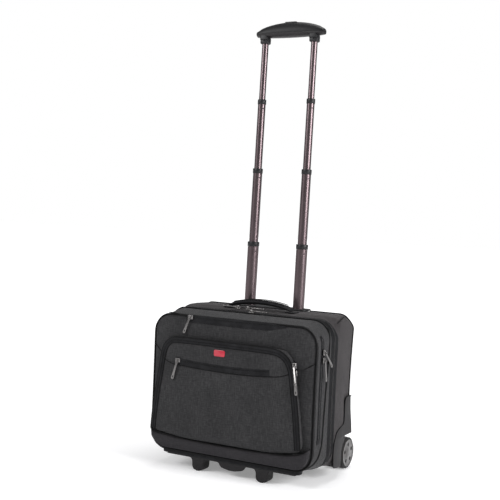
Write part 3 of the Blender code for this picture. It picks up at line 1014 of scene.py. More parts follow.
@dataclass
class FrontSection:
    """Everything in front of the main zip, on the body that opens."""

    body: str = "front_section"
    corner: float = 0.042
    rim: float = 0.008
    wall: float = 3.4 * MM
    side_zip_y: float = -0.0985
    side_zip: Point2 = (0.106, 0.334)
    rib_y: float = -0.0615
    draw: float = 0.010
    rib_run: tuple[Point2, ...] = (
        (0.350, -0.0625), (0.300, -0.0645), (0.215, -0.0715), (0.1325, -0.0780), (0.098, -0.0815),
        (0.085, -0.0865), (0.069, -0.0965), (0.057, -0.1080), (0.0505, -0.1215), (0.0490, -0.1270),
    )
    outline: Outline = field(init=False)
    face: float = field(init=False)
    back: float = field(init=False)

    def __post_init__(self) -> None:
        """Reads the section's size from the frame."""
        low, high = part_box("front_shell")
        self.outline = Outline(high.x, low.z, high.z, self.corner)
        self.face, self.back = low.y, high.y

    def build(self) -> None:
        """Makes every piece of the section."""
        self.shell()
        self.piping()
        self.top_zip()
        self.face_seams()
        self.guard()
        self.side_zip_line()
        self.main_zip_half()
        self.rail()
        self.organiser()

    def at(self, y: float) -> Outline:
        """The outline at a depth: it draws in from the rib to the face."""
        o = self.outline
        share = min(1.0, max(0.0, (self.rib_y - y) / (self.rib_y - self.face - 0.004)))
        return Outline(o.half_width - 0.0013 * share, o.low + self.draw * share, o.top - self.draw * share, o.corner)

    def shell(self) -> None:
        """The padded cloth tub: face and gusset."""
        o = self.outline
        form = Bench.box("front_cloth", (-o.half_width, self.face, o.low), (o.half_width, self.back + 0.012, o.top))
        Bench.bevel_along(form, 1, self.corner, 10)
        Bench.bevel_rim(form, 1, self.face, self.rim, 3)

        def held(p: Vector) -> bool:
            """The sewn lines: front piping, rib, main zip and, on the right, the side zip."""
            lines = (self.face + 0.004, -0.064, self.back)
            near = any(abs(p.y - y) < 0.004 for y in lines)
            return near or p.y > self.back or (p.x > 0.19 and abs(p.y - self.side_zip_y) < 0.006)

        Padding.swell(form, 4.4 * MM, held, lambda p: (1.4 if p.y < self.face + 0.004 else 2.4) * MM)

        def drawn_in(p: Vector) -> Vector:
            """Fits a point of the straight tub into the outline at its depth."""
            near, middle = self.at(p.y), (o.low + o.top) / 2
            x = o.narrow(p.x, p.z) * near.half_width / o.half_width
            return Vector((x, p.y, middle + (p.z - middle) * (near.top - near.low) / (o.top - o.low)))

        Bench.shift(form, drawn_in)
        Bench.edit(form, "FACE", lambda f: True)
        bpy.ops.mesh.bisect(plane_co=(0, self.back, 0), plane_no=(0, 1, 0), clear_outer=True, use_fill=False)
        Bench.close()
        Bench.modify(form, "SOLIDIFY", thickness=self.wall, offset=-1)
        Bench.dress(form, Finish.CLOTH, self.body, ("front_shell",), 60)

    def piping(self) -> None:
        """The black piping round the face and the rib that leans forward to meet it below."""
        o = self.outline
        y = self.face + 0.0035
        ring = [(x, y, z) for x, z in self.at(y).ring(-0.2 * MM)]
        Bench.dress(Thread.cording("front_piping", ring, 2.4 * MM, True, 4 * MM, False), Finish.PIPING, self.body)
        welt = [(x, self.face + 0.0120, z) for x, z in self.at(self.face + 0.0120).ring(0.4 * MM)]
        Bench.dress(Thread.cording("front_welt", welt, 0.9 * MM, True, 4 * MM, False), Finish.TAPE, self.body)
        side = []
        for z, depth in self.rib_run:
            near = self.at(depth)
            fall = max(0.0, near.low + near.corner - z)
            x = near.half_width - near.corner + math.sqrt(max(near.corner ** 2 - fall ** 2, 0.0))
            side.append((near.narrow(x, z) + 0.3 * MM, depth, z))
        reach, r = o.half_width - o.corner, o.corner
        bend = [(reach + r * math.cos(a), -0.0620, o.top - r + r * math.sin(a)) for a in (math.radians(d) for d in (24, 45, 66, 90))]
        half = [(0.08, -0.0620, o.top)] + bend[::-1] + side[1:]
        path = [(-x, y, z) for x, y, z in half[::-1]] + half
        rib = Thread.cording("rib_piping", path, 2.5 * MM)
        Bench.dress(rib, Finish.PIPING, self.body)
        base = Bench.box(
            "base_binding", (-0.1760, self.face + 0.0050, o.low + 0.0006),
            (0.1760, self.face + 0.0300, o.low + 0.0130)
        )
        Bench.bevel_along(base, 2, 0.010, 4)
        Bench.bevel_rim(base, 2, o.low + 0.0006, 2.5 * MM, 2)
        Bench.dress(base, Finish.BAND, self.body)

    def top_zip(self) -> None:
        """The covered zip across the top of the face, with its tapering flap and slanting seam."""
        y = self.face - 0.2 * MM
        line = ((-0.120, 0.3462), (-0.060, 0.3452), (0.030, 0.3452), (0.090, 0.3460), (0.132, 0.3490))
        flap = Thread.band(
            "top_zip_flap", line, 0.0175, 1.8 * MM, y, radii=lambda t: 1.0 - 0.75 * ease(t, 0.80, 1.0), curved=True
        )
        Bench.dress(flap, Finish.BAND, self.body)
        slit = [(x, y - 0.8 * MM, z + 0.0038) for x, z in line[:-1]] + [(0.118, y - 0.8 * MM, 0.3496)]
        Bench.dress(Thread.cording("top_zip_slit", slit, 0.6 * MM), Finish.PIPING, self.body)
        slant = [
            (-0.168, y - 0.1 * MM, 0.3560), (-0.150, y - 0.1 * MM, 0.3555), (-0.130, y - 0.2 * MM, 0.3520),
            (-0.112, y - 0.2 * MM, 0.3462)
        ]
        Bench.dress(Thread.cording("top_zip_slant", slant, 1.0 * MM), Finish.PIPING, self.body)
        row = [(x, z - 0.0072) for x, z in line[:-1]]
        row = Thread.repeated(
            "top_zip_stitches", row, (2.2 * MM, 0.45 * MM, 0.5 * MM), 3.4 * MM, y - 0.9 * MM, Plane.FRONT
        )
        Bench.dress(row, Finish.THREAD, self.body)

    def face_seams(self) -> None:
        """The piped seam that dips from both sides of the face towards the pocket."""
        y = self.face - 0.1 * MM
        for name, line in (
            ("dip_seam_left", ((-0.2035, 0.2810), (-0.1950, 0.2735), (-0.1850, 0.2640), (-0.1760, 0.2560))),
            ("dip_seam_right", ((0.2035, 0.2775), (0.1900, 0.2690), (0.1760, 0.2615), (0.1610, 0.2560))),
        ):
            Bench.dress(Thread.cording(name, [(x, y, z) for x, z in line], 1.0 * MM), Finish.PIPING, self.body)

    def guard(self) -> None:
        """The tougher panel along the bottom of the face, proud of it by the pocket's depth."""
        o = self.at(self.face)
        top = ((-0.2030, 0.0880), (-0.1960, 0.0830), (-0.1850, 0.0790), (-0.1200, 0.0735), (-0.0300, 0.0712),
               (0.0800, 0.0722), (0.1500, 0.0758), (0.1850, 0.0835), (0.1960, 0.0895), (0.2030, 0.0950))
        bottom = [p for p in o.ring(3.6 * MM) if p[1] < 0.0870]
        outline = bottom + list(reversed(top))
        panel = Thread.plate("guard_panel", outline, -0.1425, self.face + 0.001, Plane.FRONT, 1.5 * MM)
        panel = Padding.swell(
            panel, 3.6 * MM, lambda p: p.y > self.face - 0.0015 or p.z > 0.066, lambda p: 1.4 * MM, 3.0
        )

        def slope(p: Vector) -> Vector:
            """Brings the panel's front back to the face along its bottom."""
            share = (self.face - p.y) / 0.0125
            if share <= 0:
                return p
            flat = 0.18 + 0.82 * ease(p.z, o.low + 0.006, 0.074)
            flat *= 1 - 0.75 * ease(abs(p.x), 0.194, 0.206)
            return Vector((p.x, self.face - share * 0.0125 * flat, p.z))

        Bench.shift(panel, slope)
        Bench.dress(panel, Finish.GUARD, self.body, angle=60)
        line = []
        for x, z in top:
            proud = 0.0128 * (1 - 0.75 * ease(abs(x), 0.194, 0.206))
            line.append((x, self.face - proud, z + 0.5 * MM))
        Bench.dress(Thread.cording("guard_seam", line, 1.1 * MM), Finish.PIPING, self.body)

    def side_line(self, low: float, high: float, out: float = 0.0, step: float = 0.01) -> list[Point2]:
        """Points up the right side of the gusset.

        Args:
            low: Lowest point.
            high: Highest point.
            out: Distance proud of the cloth.
            step: Distance between the points.

        Returns:
            The points, as seen from the front.
        """
        o = self.at(self.side_zip_y)
        count = max(2, round((high - low) / step))
        line = []
        for k in range(count + 1):
            z = low + (high - low) * k / count
            rise = max(0.0, z - (o.top - o.corner))
            x = o.half_width - o.corner + math.sqrt(max(o.corner ** 2 - rise ** 2, 0.0))
            line.append((o.narrow(x, z) + out, z))
        return line

    def side_zip_line(self) -> None:
        """The vertical zip on the right gusset, with its tape, coil and end tab."""
        low, high = self.side_zip
        y = self.side_zip_y
        tape = Thread.band("side_zip_tape", self.side_line(low, high, 0.1 * MM), 1.0 * MM, 0.0150, y)
        Bench.dress(tape, Finish.TAPE, self.body)
        coil = Thread.repeated(
            "side_zip_coil", self.side_line(low + 0.004, high - 0.006, 0.5 * MM), (1.2 * MM, 1.0 * MM, 3.2 * MM),
            1.9 * MM, y, Plane.FRONT
        )
        Bench.dress(coil, Finish.COIL, self.body)
        for name, shift in (("front", -0.0066), ("back", 0.0066)):
            row = Thread.repeated(
                "side_zip_stitches_" + name, self.side_line(low, high - 0.004, 0.5 * MM),
                (2.2 * MM, 0.5 * MM, 0.45 * MM), 3.4 * MM, y + shift, Plane.FRONT
            )
            Bench.dress(row, Finish.THREAD, self.body)
        x = self.side_line(low - 0.004, low)[0][0]
        tab = (
            (y - 0.0080, low - 0.0060), (y + 0.0105, low - 0.0060), (y + 0.0105, low + 0.0055),
            (y - 0.0080, low + 0.0055)
        )
        tab = Thread.plate("side_zip_tab", tab, x - 0.6 * MM, x + 1.6 * MM, Plane.SIDE, 0.7 * MM)
        Bench.dress(tab, Finish.BAND, self.body)

    def main_zip_half(self) -> None:
        """The front half of the main zip, and the laptop zip in front of it on top."""
        o = self.outline
        MainZip("front", o, self.back, -1, self.body).build()
        y = -0.0520
        line = ((-0.150, o.top + 0.7 * MM), (0.150, o.top + 0.7 * MM))
        strip = Thread.band("laptop_zip_tape", line, 0.9 * MM, 0.0085, y, curved=False)
        Bench.dress(strip, Finish.BAND, self.body)
        line = ((-0.147, o.top + 1.3 * MM), (0.147, o.top + 1.3 * MM))
        coil = Thread.repeated("laptop_zip_coil", line, (1.1 * MM, 0.8 * MM, 2.6 * MM), 2.0 * MM, y, Plane.FRONT)
        Bench.dress(coil, Finish.COIL, self.body)

    def rail(self) -> None:
        """The moulded base rail with its two feet and the grab lip between them."""
        parts = [Bench.copy_of(n, "rail_" + n) for n in ("foot_left", "foot_right", "bottom_grab_lip")]
        low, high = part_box("foot_right")
        strip = Bench.box(
            "rail_strip", (-0.166, low.y - 0.003, high.z - 0.0026), (0.166, high.y + 0.004, high.z + 0.0030)
        )
        Bench.bevel_along(strip, 2, 0.006, 3)
        rail = Bench.join(parts + [strip], "base_rail")
        Bench.modify(rail, "REMESH", mode="VOXEL", voxel_size=1.7 * MM)
        Bench.modify(rail, "SMOOTH", factor=0.6, iterations=9)

        def stand(p: Vector) -> Vector:
            """Rounds the feet and keeps their soles on the ground."""
            away = min(abs(p.x - s * (low.x + high.x) / 2) for s in (-1, 1))
            if away < 0.004 and p.z < 0.0016:
                return Vector((p.x, p.y, 0.0))
            fall = min(max(away - 0.004, 0.0), 0.012)
            lift = 0.012 - math.sqrt(0.012 ** 2 - fall ** 2)
            return Vector((p.x, p.y, max(p.z, lift))) if away < 0.020 else p

        Bench.shift(rail, stand)
        Bench.dress(rail, Finish.RAIL, self.body, ("foot_left", "foot_right", "bottom_grab_lip"), 50)

    def organiser(self) -> None:
        """The inner divider with its bound top and pockets."""
        low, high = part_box("organiser_panel")
        c = self.corner - 0.005
        outline = [(low.x, high.z - 0.010), (low.x + 0.004, high.z)]
        outline += [(high.x - 0.004, high.z), (high.x, high.z - 0.010)]
        arcs = ((high.x - c, low.z + c, 0), (low.x + c, low.z + c, -90))
        for cx, cz, start in arcs:
            outline += [(cx + c * math.cos(math.radians(start - 15 * k)), cz + c * math.sin(math.radians(start - 15 * k))) for k in range(7)]
        board = Thread.plate("organiser_board", outline, low.y, high.y, Plane.FRONT, 1.2 * MM)
        Bench.dress(board, Finish.LINING, self.body, ("organiser_panel",))
        bind = [
            (low.x + 0.002, (low.y + high.y) / 2, high.z - 0.0005),
            (high.x - 0.002, (low.y + high.y) / 2, high.z - 0.0005)
        ]
        Bench.dress(Thread.cording("organiser_binding", bind, 2.0 * MM, curved=False), Finish.BAND, self.body)
        for name, x0, x1, top in (
            ("wide", -0.165, 0.020, 0.205), ("phone", 0.040, 0.110, 0.190), ("card", 0.120, 0.172, 0.165)
        ):
            flat = ((x0, 0.060), (x1, 0.060), (x1, top), (x0, top))
            pocket = Thread.plate(
                "inner_pocket_" + name, flat, high.y - 0.4 * MM, high.y + 0.9 * MM, Plane.FRONT, 0.5 * MM
            )
            Bench.dress(pocket, Finish.GUARD, self.body)
            hem = Thread.band(
                "inner_hem_" + name, ((x0, top - 0.004), (x1, top - 0.004)), 0.010, 1.0 * MM, high.y + 0.7 * MM,
                curved=False
            )
            Bench.dress(hem, Finish.BAND, self.body)


@dataclass
class FrontPocket:
    """The raised pocket on the face, with the zips that frame and cross it, and the badge."""

    body: str = "front_section"
    swell: float = 3.4 * MM
    badge_room: float = 0.026
    cross_line: tuple[Point2, ...] = (
        (-0.128, 0.2475), (-0.070, 0.2445), (-0.010, 0.2430), (0.050, 0.2440), (0.102, 0.2475)
    )
    frame_line: tuple[Point2, ...] = (
        (-0.1915, 0.088), (-0.1895, 0.120), (-0.1840, 0.170), (-0.1765, 0.220), (-0.1715, 0.255), (-0.1655, 0.278),
        (-0.1530, 0.2915), (-0.1350, 0.2960), (-0.0600, 0.2965), (0.0500, 0.2960), (0.1080, 0.2945),
        (0.1300, 0.2885), (0.1450, 0.2750), (0.1540, 0.2540), (0.1610, 0.2150), (0.1690, 0.1600), (0.1770, 0.090),
    )
    face: float = field(init=False)
    base: float = field(init=False)

    def __post_init__(self) -> None:
        """Reads the pocket's depth from the frame."""
        low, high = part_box("front_pocket")
        self.face, self.base = low.y, high.y

    def build(self) -> None:
        """Makes the pad, its zips and the badge."""
        self.pad()
        self.frame_zip()
        self.cross_zip()
        self.badge()

    def _nearest(self, line: Sequence[Vector], p: Vector) -> float:
        """Distance from a point to a line, as seen from the front."""
        return min(math.hypot(q.x - p.x, q.y - p.z) for q in line)

    def pad(self) -> None:
        """The stuffed pocket, held down along its two zips."""
        pad = Bench.copy_of("front_pocket", "pocket_cloth")
        frame = Thread.even(self.frame_line, 6 * MM)
        cross = Thread.even(self.cross_line, 6 * MM)
        low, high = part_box("badge")
        centre = (low + high) / 2

        def held(p: Vector) -> bool:
            """The back, the framing band and the crossing band."""
            return p.y > self.base - 0.002 or self._nearest(frame, p) < 0.0075 or self._nearest(cross, p) < 0.0085

        def most(p: Vector) -> float:
            """Full in the lower panel, less in the upper one and none under the badge."""
            full = self.swell if p.z < 0.236 else 0.55 * self.swell
            away = math.hypot(p.x - centre.x, (p.z - centre.z) * 1.3)
            return max(0.15 * MM, full * ease(away, 0.6 * self.badge_room, 1.6 * self.badge_room))

        Padding.swell(pad, 3.8 * MM, held, most, 5.0)
        Bench.dress(pad, Finish.CLOTH, self.body, ("front_pocket",), 60)

    def frame_zip(self) -> None:
        """The band over the zip that frames the pocket, with a welt on either edge."""
        line = self.frame_line
        band = Thread.band("pocket_frame_band", line, 0.0112, 2.0 * MM, self.face - 0.1 * MM)
        Bench.dress(band, Finish.BAND, self.body)
        middle = [(x, self.face - 1.1 * MM, z) for x, z in line]
        Bench.dress(Thread.cording("pocket_frame_slit", middle, 0.6 * MM), Finish.PIPING, self.body)
        path = Thread.even(line, 5 * MM)
        for name, out, radius, depth in (("inner", 0.0060, 0.9, 0.5), ("outer", -0.0064, 1.5, -0.6)):
            edge = []
            for i, p in enumerate(path):
                ahead = path[min(i + 1, len(path) - 1)] - path[max(i - 1, 0)]
                side = Vector((ahead.y, -ahead.x, 0)).normalized() * out
                edge.append((p.x + side.x, self.face - depth * MM, p.y + side.y))
            Bench.dress(Thread.cording("pocket_welt_" + name, edge, radius * MM), Finish.PIPING, self.body)

    def cross_zip(self) -> None:
        """The covered zip across the pocket and the seams that carry on from its ends."""
        y = self.face - 0.3 * MM
        band = Thread.band("cross_zip_flap", self.cross_line, 0.0148, 2.2 * MM, y)
        Bench.dress(band, Finish.BAND, self.body)
        slit = [(x, y - 1.1 * MM, z + 0.0034) for x, z in self.cross_line]
        Bench.dress(Thread.cording("cross_zip_slit", slit, 0.6 * MM), Finish.PIPING, self.body)
        low = [(x, y - 0.5 * MM, z - 0.0078) for x, z in self.cross_line]
        left = [(-0.1745, y, 0.2560), (-0.1640, y, 0.2480), (-0.1480, y, 0.2415), (-0.1320, y - 0.3 * MM, 0.2390)]
        right = [(0.1060, y - 0.2 * MM, 0.2402), (0.1200, y, 0.2415), (0.1350, y, 0.2450), (0.1480, y, 0.2500)]
        Bench.dress(Thread.cording("cross_zip_seam", left + low + right, 1.0 * MM), Finish.PIPING, self.body)
        row = [(x, z - 0.0058) for x, z in self.cross_line]
        row = Thread.repeated(
            "cross_zip_stitches", row, (2.2 * MM, 0.45 * MM, 0.5 * MM), 3.4 * MM, y - 1.05 * MM, Plane.FRONT
        )
        Bench.dress(row, Finish.THREAD, self.body)

    def badge(self) -> None:
        """The plain red plate and its thin raised edge, in the same red enamel."""
        paint("badge", Finish.RED, 0.35 * MM)
        low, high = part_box("badge")
        r = 0.003
        ring = []
        for cx, cz, start in (
            (high.x - r, high.z - r, 0), (low.x + r, high.z - r, 90), (low.x + r, low.z + r, 180),
            (high.x - r, low.z + r, 270)
        ):
            ring += [(cx + r * math.cos(math.radians(start + 30 * k)), low.y + 0.8 * MM, cz + r * math.sin(math.radians(start + 30 * k))) for k in range(4)]
        Bench.dress(Thread.cording("badge_edge", ring, 0.5 * MM, True, 1.2 * MM, False), Finish.RED, self.body)


# ---- Rear section ---------------------------------------------------------------


@dataclass
class RearSection:
    """The case behind the main zip: cloth tub, trim, guards, lining and carry handle."""

    body: str = "case"
    corner: float = 0.022
    edge: float = 0.017
    guard_edge: tuple[Sequence[float], Sequence[float]] = ((0, 0.0885, 0.088), (0, 0.983, 0.184))
    guard_lean: float = 0.0190
    lean_start: float = 0.030
    lean_run: float = 0.0465
    lean_top: tuple[float, float] = (0.0885, 0.0940)
    chamfer: float = 0.75
    wall: float = 3.4 * MM
    front: Outline | None = None
    outline: Outline = field(init=False)
    zip_y: float = field(init=False)
    back: float = field(init=False)

    def __post_init__(self) -> None:
        """Reads the section's size from the frame."""
        low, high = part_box("rear_shell")
        self.outline = Outline(high.x, low.z, high.z, self.corner, 0.006)
        self.zip_y, self.back = low.y, high.y

    def build(self) -> None:
        """Makes every piece of the section."""
        self.shell()
        self.trim()
        self.guards()
        self.back_panel()
        self.carry_handle()
        self.inside()
        self.hinge()
        paint("base_tray", Finish.RAIL, 0.8 * MM)
        paint("lower_tube_bracket", Finish.PLASTIC, 0.8 * MM)
        paint("trolley_bezel", Finish.PLASTIC, 0.5 * MM)

    def fitted(self, p: Vector) -> Vector:
        """Pulls the sides in, more towards the back, and meets the front section's outline at the zip."""
        o = self.outline
        x, z = self.front.pressed(p.x, p.z, 1 - ease(p.y, self.zip_y + 0.004, -0.002))
        deep = 1.0 + 3.2 * ease(p.y, 0.0, self.back - 0.01)
        low_part = 1 - ease(0.19 - z, 0.0, 0.05) * ease(p.y, -0.02, 0.02)
        z -= 0.016 * ease(abs(x), 0.172, o.half_width) * ease(p.y, 0.030, self.back) * ease(z, 0.31, o.top)
        return Vector((o.narrow(x, z, 1 + (deep - 1) * low_part), p.y, z))

    def shell(self) -> None:
        """The padded cloth tub, cut out for the wheel housings and the tubes."""
        o = self.outline
        form = Bench.box("rear_cloth", (-o.half_width, self.zip_y - 0.012, o.low), (o.half_width, self.back, o.top))
        Bench.bevel_along(form, 1, self.corner, 8)
        Bench.bevel_rim(form, 1, self.back, self.edge, 4)
        bezel_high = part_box("trolley_bezel")[1]

        def held(p: Vector) -> bool:
            """The zip, the rear piping, and the flat top under the handles."""
            on_top = p.z > o.top - 0.002 and abs(p.x) < bezel_high.x + 0.006 and p.y > -0.016
            return p.y < self.zip_y + 0.004 or abs(
                p.y - (self.back - self.edge)
            ) < 0.003 or on_top or p.z < o.low + 0.002

        def most(p: Vector) -> float:
            """Fuller on the sides than on the back and the top."""
            if p.y > self.back - 0.004:
                return 1.0 * MM
            if (p.z < 0.190 and p.y > 0.030) or (p.z < 0.120 and p.y > -0.022):
                return 0.2 * MM
            return 2.6 * MM if abs(p.x) > 0.19 else 1.6 * MM

        Padding.swell(form, 4.4 * MM, held, most)
        Bench.shift(form, self.fitted)
        Bench.edit(form, "FACE", lambda f: True)
        bpy.ops.mesh.bisect(plane_co=(0, self.zip_y, 0), plane_no=(0, -1, 0), clear_outer=True, use_fill=False)
        Bench.close()
        Bench.modify(form, "SOLIDIFY", thickness=self.wall, offset=-1)
        lean = Vector((0, math.sin(math.radians(1.9)), math.cos(math.radians(1.9))))
        for side in ("left", "right"):
            low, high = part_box("wheel_housing_" + side)
            sign = 1 if low.x > 0 else -1
            cutter = Bench.copy_of("wheel_housing_" + side, "housing_space")
            middle = (low + high) / 2
            Bench.shift(
                cutter,
                lambda p: Vector((p.x + sign * 0.02 * (abs(p.x) > 0.19), middle.y + (p.y - middle.y) * 1.02, middle.z + (p.z - middle.z) * 1.02))
            )
            Bench.carve(form, cutter)
            low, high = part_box("tyre_" + side)
            centre = (low + high) / 2
            wheel = Bench.rod(
                "wheel_space", centre + Vector((sign * 0.020, 0, 0)), Vector((1, 0, 0)), 0.0405, 0.068, 40
            )
            Bench.carve(form, wheel)
            low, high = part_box("outer_tube_" + side)
            bore = Bench.rod("tube_space", ((low.x + high.x) / 2, 0.0665, o.top), lean, 0.0141, 0.030)
            Bench.carve(form, bore)
        # The tub takes the lighter gusset cloth, whose lift is partly painted light for the side's brighter lighting.
        Bench.dress(form, Finish.GUSSET, self.body, ("rear_shell",), 60)

    def trim(self) -> None:
        """The rear half of the main zip, the rear piping and the slanting corner seams."""
        o = self.front
        MainZip("rear", o, self.zip_y, 1, self.body).build()
        y = self.back - self.edge + 0.001
        over = [self.fitted(Vector((x, y, z))) for x, z in self.plain_ring(-0.5 * MM) if z > 0.176]
        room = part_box("trolley_bezel")[1].x - 0.002
        for side, part in (("left", [p for p in over if p.x < -room]), ("right", [p for p in over if p.x > room])):
            Bench.dress(Thread.cording("rear_piping_" + side, part, 1.7 * MM, curved=False), Finish.PIPING, self.body)
        r = self.corner
        for side, sign in (("left", -1), ("right", 1)):
            path = []
            for k in range(9):
                t = k / 8
                a = math.radians(34 + 46 * t)
                p = Vector((self.outline.half_width - r + (r + 0.0003) * math.cos(a), -0.0125 + 0.078 * t, self.outline.top - r + (r + 0.0003) * math.sin(a)))
                p = self.fitted(p)
                path.append((sign * p.x, p.y, p.z))
            Bench.dress(Thread.cording("corner_seam_" + side, path, 1.3 * MM), Finish.PIPING, self.body)

    def plain_ring(self, inset: float) -> list[Point2]:
        """The outline before its sides pull in, from its lower left round the top to its lower right."""
        o = Outline(self.outline.half_width, self.outline.low, self.outline.top, self.outline.corner, 0.0)
        ring = o.ring(inset)
        start = next(i for i, p in enumerate(ring) if p[0] < 0 and p[1] < 0.17)
        turned = ring[start:] + ring[:start]
        return list(reversed(turned))

    def guards(self) -> None:
        """The wheel housings, the skins over them and the piped seam round each skin."""
        run = ((0.0712, 0.1815), (0.0640, 0.1830), (0.0510, 0.1828), (0.0400, 0.1780), (0.0373, 0.1630), (0.0380, 0.1409),
               (0.0350, 0.1238), (0.0171, 0.1165), (-0.0001, 0.1096), (-0.0093, 0.0969), (-0.0148, 0.0836), (-0.0167, 0.0639), (-0.0157, 0.0464), (-0.0146, 0.0345))
        cuts = [
            ((0, y, 0), (0, 1, 0)) for y in (0.030, 0.053, 0.0765)
        ] + [((0, 0, z), (0, 0, 1)) for z in self.lean_top]
        for side, sign in (("left", -1), ("right", 1)):
            housing = Bench.copy_of("wheel_housing_" + side, "wheel_housing_moulding_" + side)
            Bench.slice(housing, cuts + [self.guard_edge])
            Bench.shift(
                housing, lambda p: Vector((math.copysign(min(abs(p.x), self.guard_limit(p) - 0.0020), p.x), p.y, p.z))
            )
            Bench.modify(
                housing, "BEVEL", width=0.9 * MM, segments=2, limit_method="ANGLE", angle_limit=math.radians(32)
            )
            Bench.dress(housing, Finish.HOUSING, self.body, ("wheel_housing_" + side,))
            low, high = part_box("tyre_" + side)
            cy, cz, r = (low.y + high.y) / 2, (low.z + high.z) / 2, 0.0412
            arch = [
                (cy + r * math.cos(math.radians(a)), cz + r * math.sin(math.radians(a))) for a in range(122, 194, 8)
            ]
            outline = list(run) + [(-0.008, 0.0290), (0.010, 0.0262), (0.040, 0.0246)] + [(0.0745, 0.0246)] + arch[::-1]
            outline += [(0.0880, 0.0890), (0.0827, 0.1187), (0.0750, 0.1497)]
            outer = self.outline.half_width - 0.1 * MM
            skin = Thread.plate(
                "wheel_guard_" + side, outline, *sorted((sign * (outer - 0.0022), sign * outer)), Plane.SIDE, 0.8 * MM
            )
            Bench.slice(skin, cuts)
            Bench.shift(skin, lambda p: p - Vector((sign * (self.outline.half_width - self.guard_limit(p)), 0, 0)))
            Bench.dress(skin, Finish.HOUSING, self.body)
            seam = [(sign * (outer + 0.0001), y, z) for y, z in run]
            Bench.dress(Thread.cording("guard_piping_" + side, seam, 1.5 * MM), Finish.PIPING, self.body)
            hem = [
                (sign * (self.outline.half_width - 0.0012), y, z) for y,
                z in ((-0.0150, 0.0380), (-0.0220, 0.0385), (-0.0300, 0.0400))
            ]
            Bench.dress(Thread.cording("gusset_hem_" + side, hem, 1.0 * MM), Finish.PIPING, self.body)

    def guard_limit(self, p: Vector) -> float:
        """How far out a guard may reach at a point: it leans in before the wheel and rounds off behind."""
        lean = min(1.0, max(0.0, (p.y - self.lean_start) / self.lean_run)) * (1 - ease(p.z, *self.lean_top))
        point, normal = (Vector(v) for v in self.guard_edge)
        behind = max(0.0, (p - point).dot(normal)) * (1 - lean)
        return self.outline.half_width - self.guard_lean * lean - self.chamfer * behind

    def back_panel(self) -> None:
        """The stitched panel on the back, with its piped frame and lower strip."""
        y = self.back + 0.1 * MM
        w, low, top, r = 0.150, 0.060, 0.338, 0.022
        frame = Outline(w, low, top, r, 0.0)
        Bench.dress(
            Thread.cording("back_frame_seam", [(x, y, z) for x, z in frame.ring()], 1.1 * MM, True, 4 * MM, False),
            Finish.PIPING, self.body
        )
        row = Thread.repeated(
            "back_frame_stitches", frame.ring(0.006), (2.4 * MM, 0.5 * MM, 0.5 * MM), 3.8 * MM, y + 0.1 * MM,
            Plane.FRONT, True, False
        )
        Bench.dress(row, Finish.THREAD, self.body)
        strip = Thread.band(
            "back_tube_strip", ((-0.1435, 0.118), (0.1435, 0.118)), 0.030, 1.2 * MM, y, curved=False, power=0.3
        )
        Bench.dress(strip, Finish.BAND, self.body)

    def carry_handle(self) -> None:
        """The padded carry handle and the sewn tabs at its ends."""
        pad = Bench.copy_of("carry_handle", "carry_handle_pad")
        low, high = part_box("carry_handle")
        Padding.swell(pad, 2.2 * MM, lambda p: abs(p.x) > high.x - 0.010, lambda p: 1.6 * MM, 5.0)
        Bench.dress(pad, Finish.BAND, self.body, ("carry_handle",), 60)
        for side, sign in (("left", -1), ("right", 1)):
            x0, x1 = sorted((sign * (high.x - 0.010), sign * (high.x + 0.013)))
            wide = (high.y - low.y) / 2 - 0.001
            outline = ((x0, -wide), (x1, -wide), (x1, wide), (x0, wide))
            tab = Thread.plate(
                "handle_tab_" + side, outline, self.outline.top - 0.3 * MM, self.outline.top + 1.9 * MM, Plane.TOP,
                0.9 * MM
            )
            Bench.dress(tab, Finish.BAND, self.body)
            inset = 0.003
            square = (
                (x0 + inset, -wide + inset), (x1 - inset, -wide + inset), (x1 - inset, wide - inset),
                (x0 + inset, wide - inset)
            )
            row = Thread.repeated(
                "handle_tab_stitches_" + side, square, (2.0 * MM, 0.5 * MM, 0.5 * MM), 3.0 * MM,
                self.outline.top + 2.0 * MM, Plane.TOP, True, False
            )
            Bench.dress(row, Finish.THREAD, self.body)
        for name, y in (("front", low.y + 0.0035), ("back", high.y - 0.0035)):
            line = []
            for k in range(17):
                x = (high.x - 0.014) * (2 * k / 16 - 1)
                line.append((x, y, self.arch_top(x)))
            Bench.dress(Thread.cording("handle_edge_" + name, line, 0.9 * MM), Finish.PIPING, self.body)

    def arch_top(self, x: float) -> float:
        """Height of the handle's upper edge at x."""
        low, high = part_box("carry_handle")
        share = abs(x) / high.x
        return low.z + 0.0052 + 0.013 * (1 - share ** 2) ** 0.8 + 0.0028

    def inside(self) -> None:
        """The lining that hides the tubes, with its crossed packing straps and buckle."""
        low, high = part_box("lining_panel")
        narrow, step_z, r = 0.1365, 0.184, self.corner - 0.005
        outline = [(-narrow, low.z), (narrow, low.z), (narrow, step_z), (high.x, step_z)]
        outline += [(high.x - r + r * math.cos(math.radians(a)), high.z - r + r * math.sin(math.radians(a))) for a in range(0, 91, 15)]
        outline += [(low.x + r - r * math.cos(math.radians(a)), high.z - r + r * math.sin(math.radians(a))) for a in range(90, -1, -15)]
        outline += [(low.x, step_z), (-narrow, step_z)]
        board = Thread.plate("lining_board", outline, low.y, high.y, Plane.FRONT, 1.2 * MM)
        Bench.dress(board, Finish.LINING, self.body, ("lining_panel",))
        y = low.y - 0.3 * MM
        for name, line in (
            ("rising", ((-0.130, 0.075), (0.130, 0.300))), ("falling", ((-0.130, 0.300), (0.130, 0.075)))
        ):
            strap = Thread.band(
                "packing_strap_" + name, line, 0.024, 1.3 * MM, y - (0.9 * MM if name == "rising" else 0),
                curved=False, power=0.3
            )
            Bench.dress(strap, Finish.BAND, self.body)
        buckle = Thread.plate(
            "packing_buckle", ((-0.022, 0.172), (0.022, 0.172), (0.022, 0.203), (-0.022, 0.203)), y - 0.0075,
            y - 0.0010, Plane.FRONT, 1.8 * MM
        )
        Bench.dress(buckle, Finish.PLASTIC, self.body)

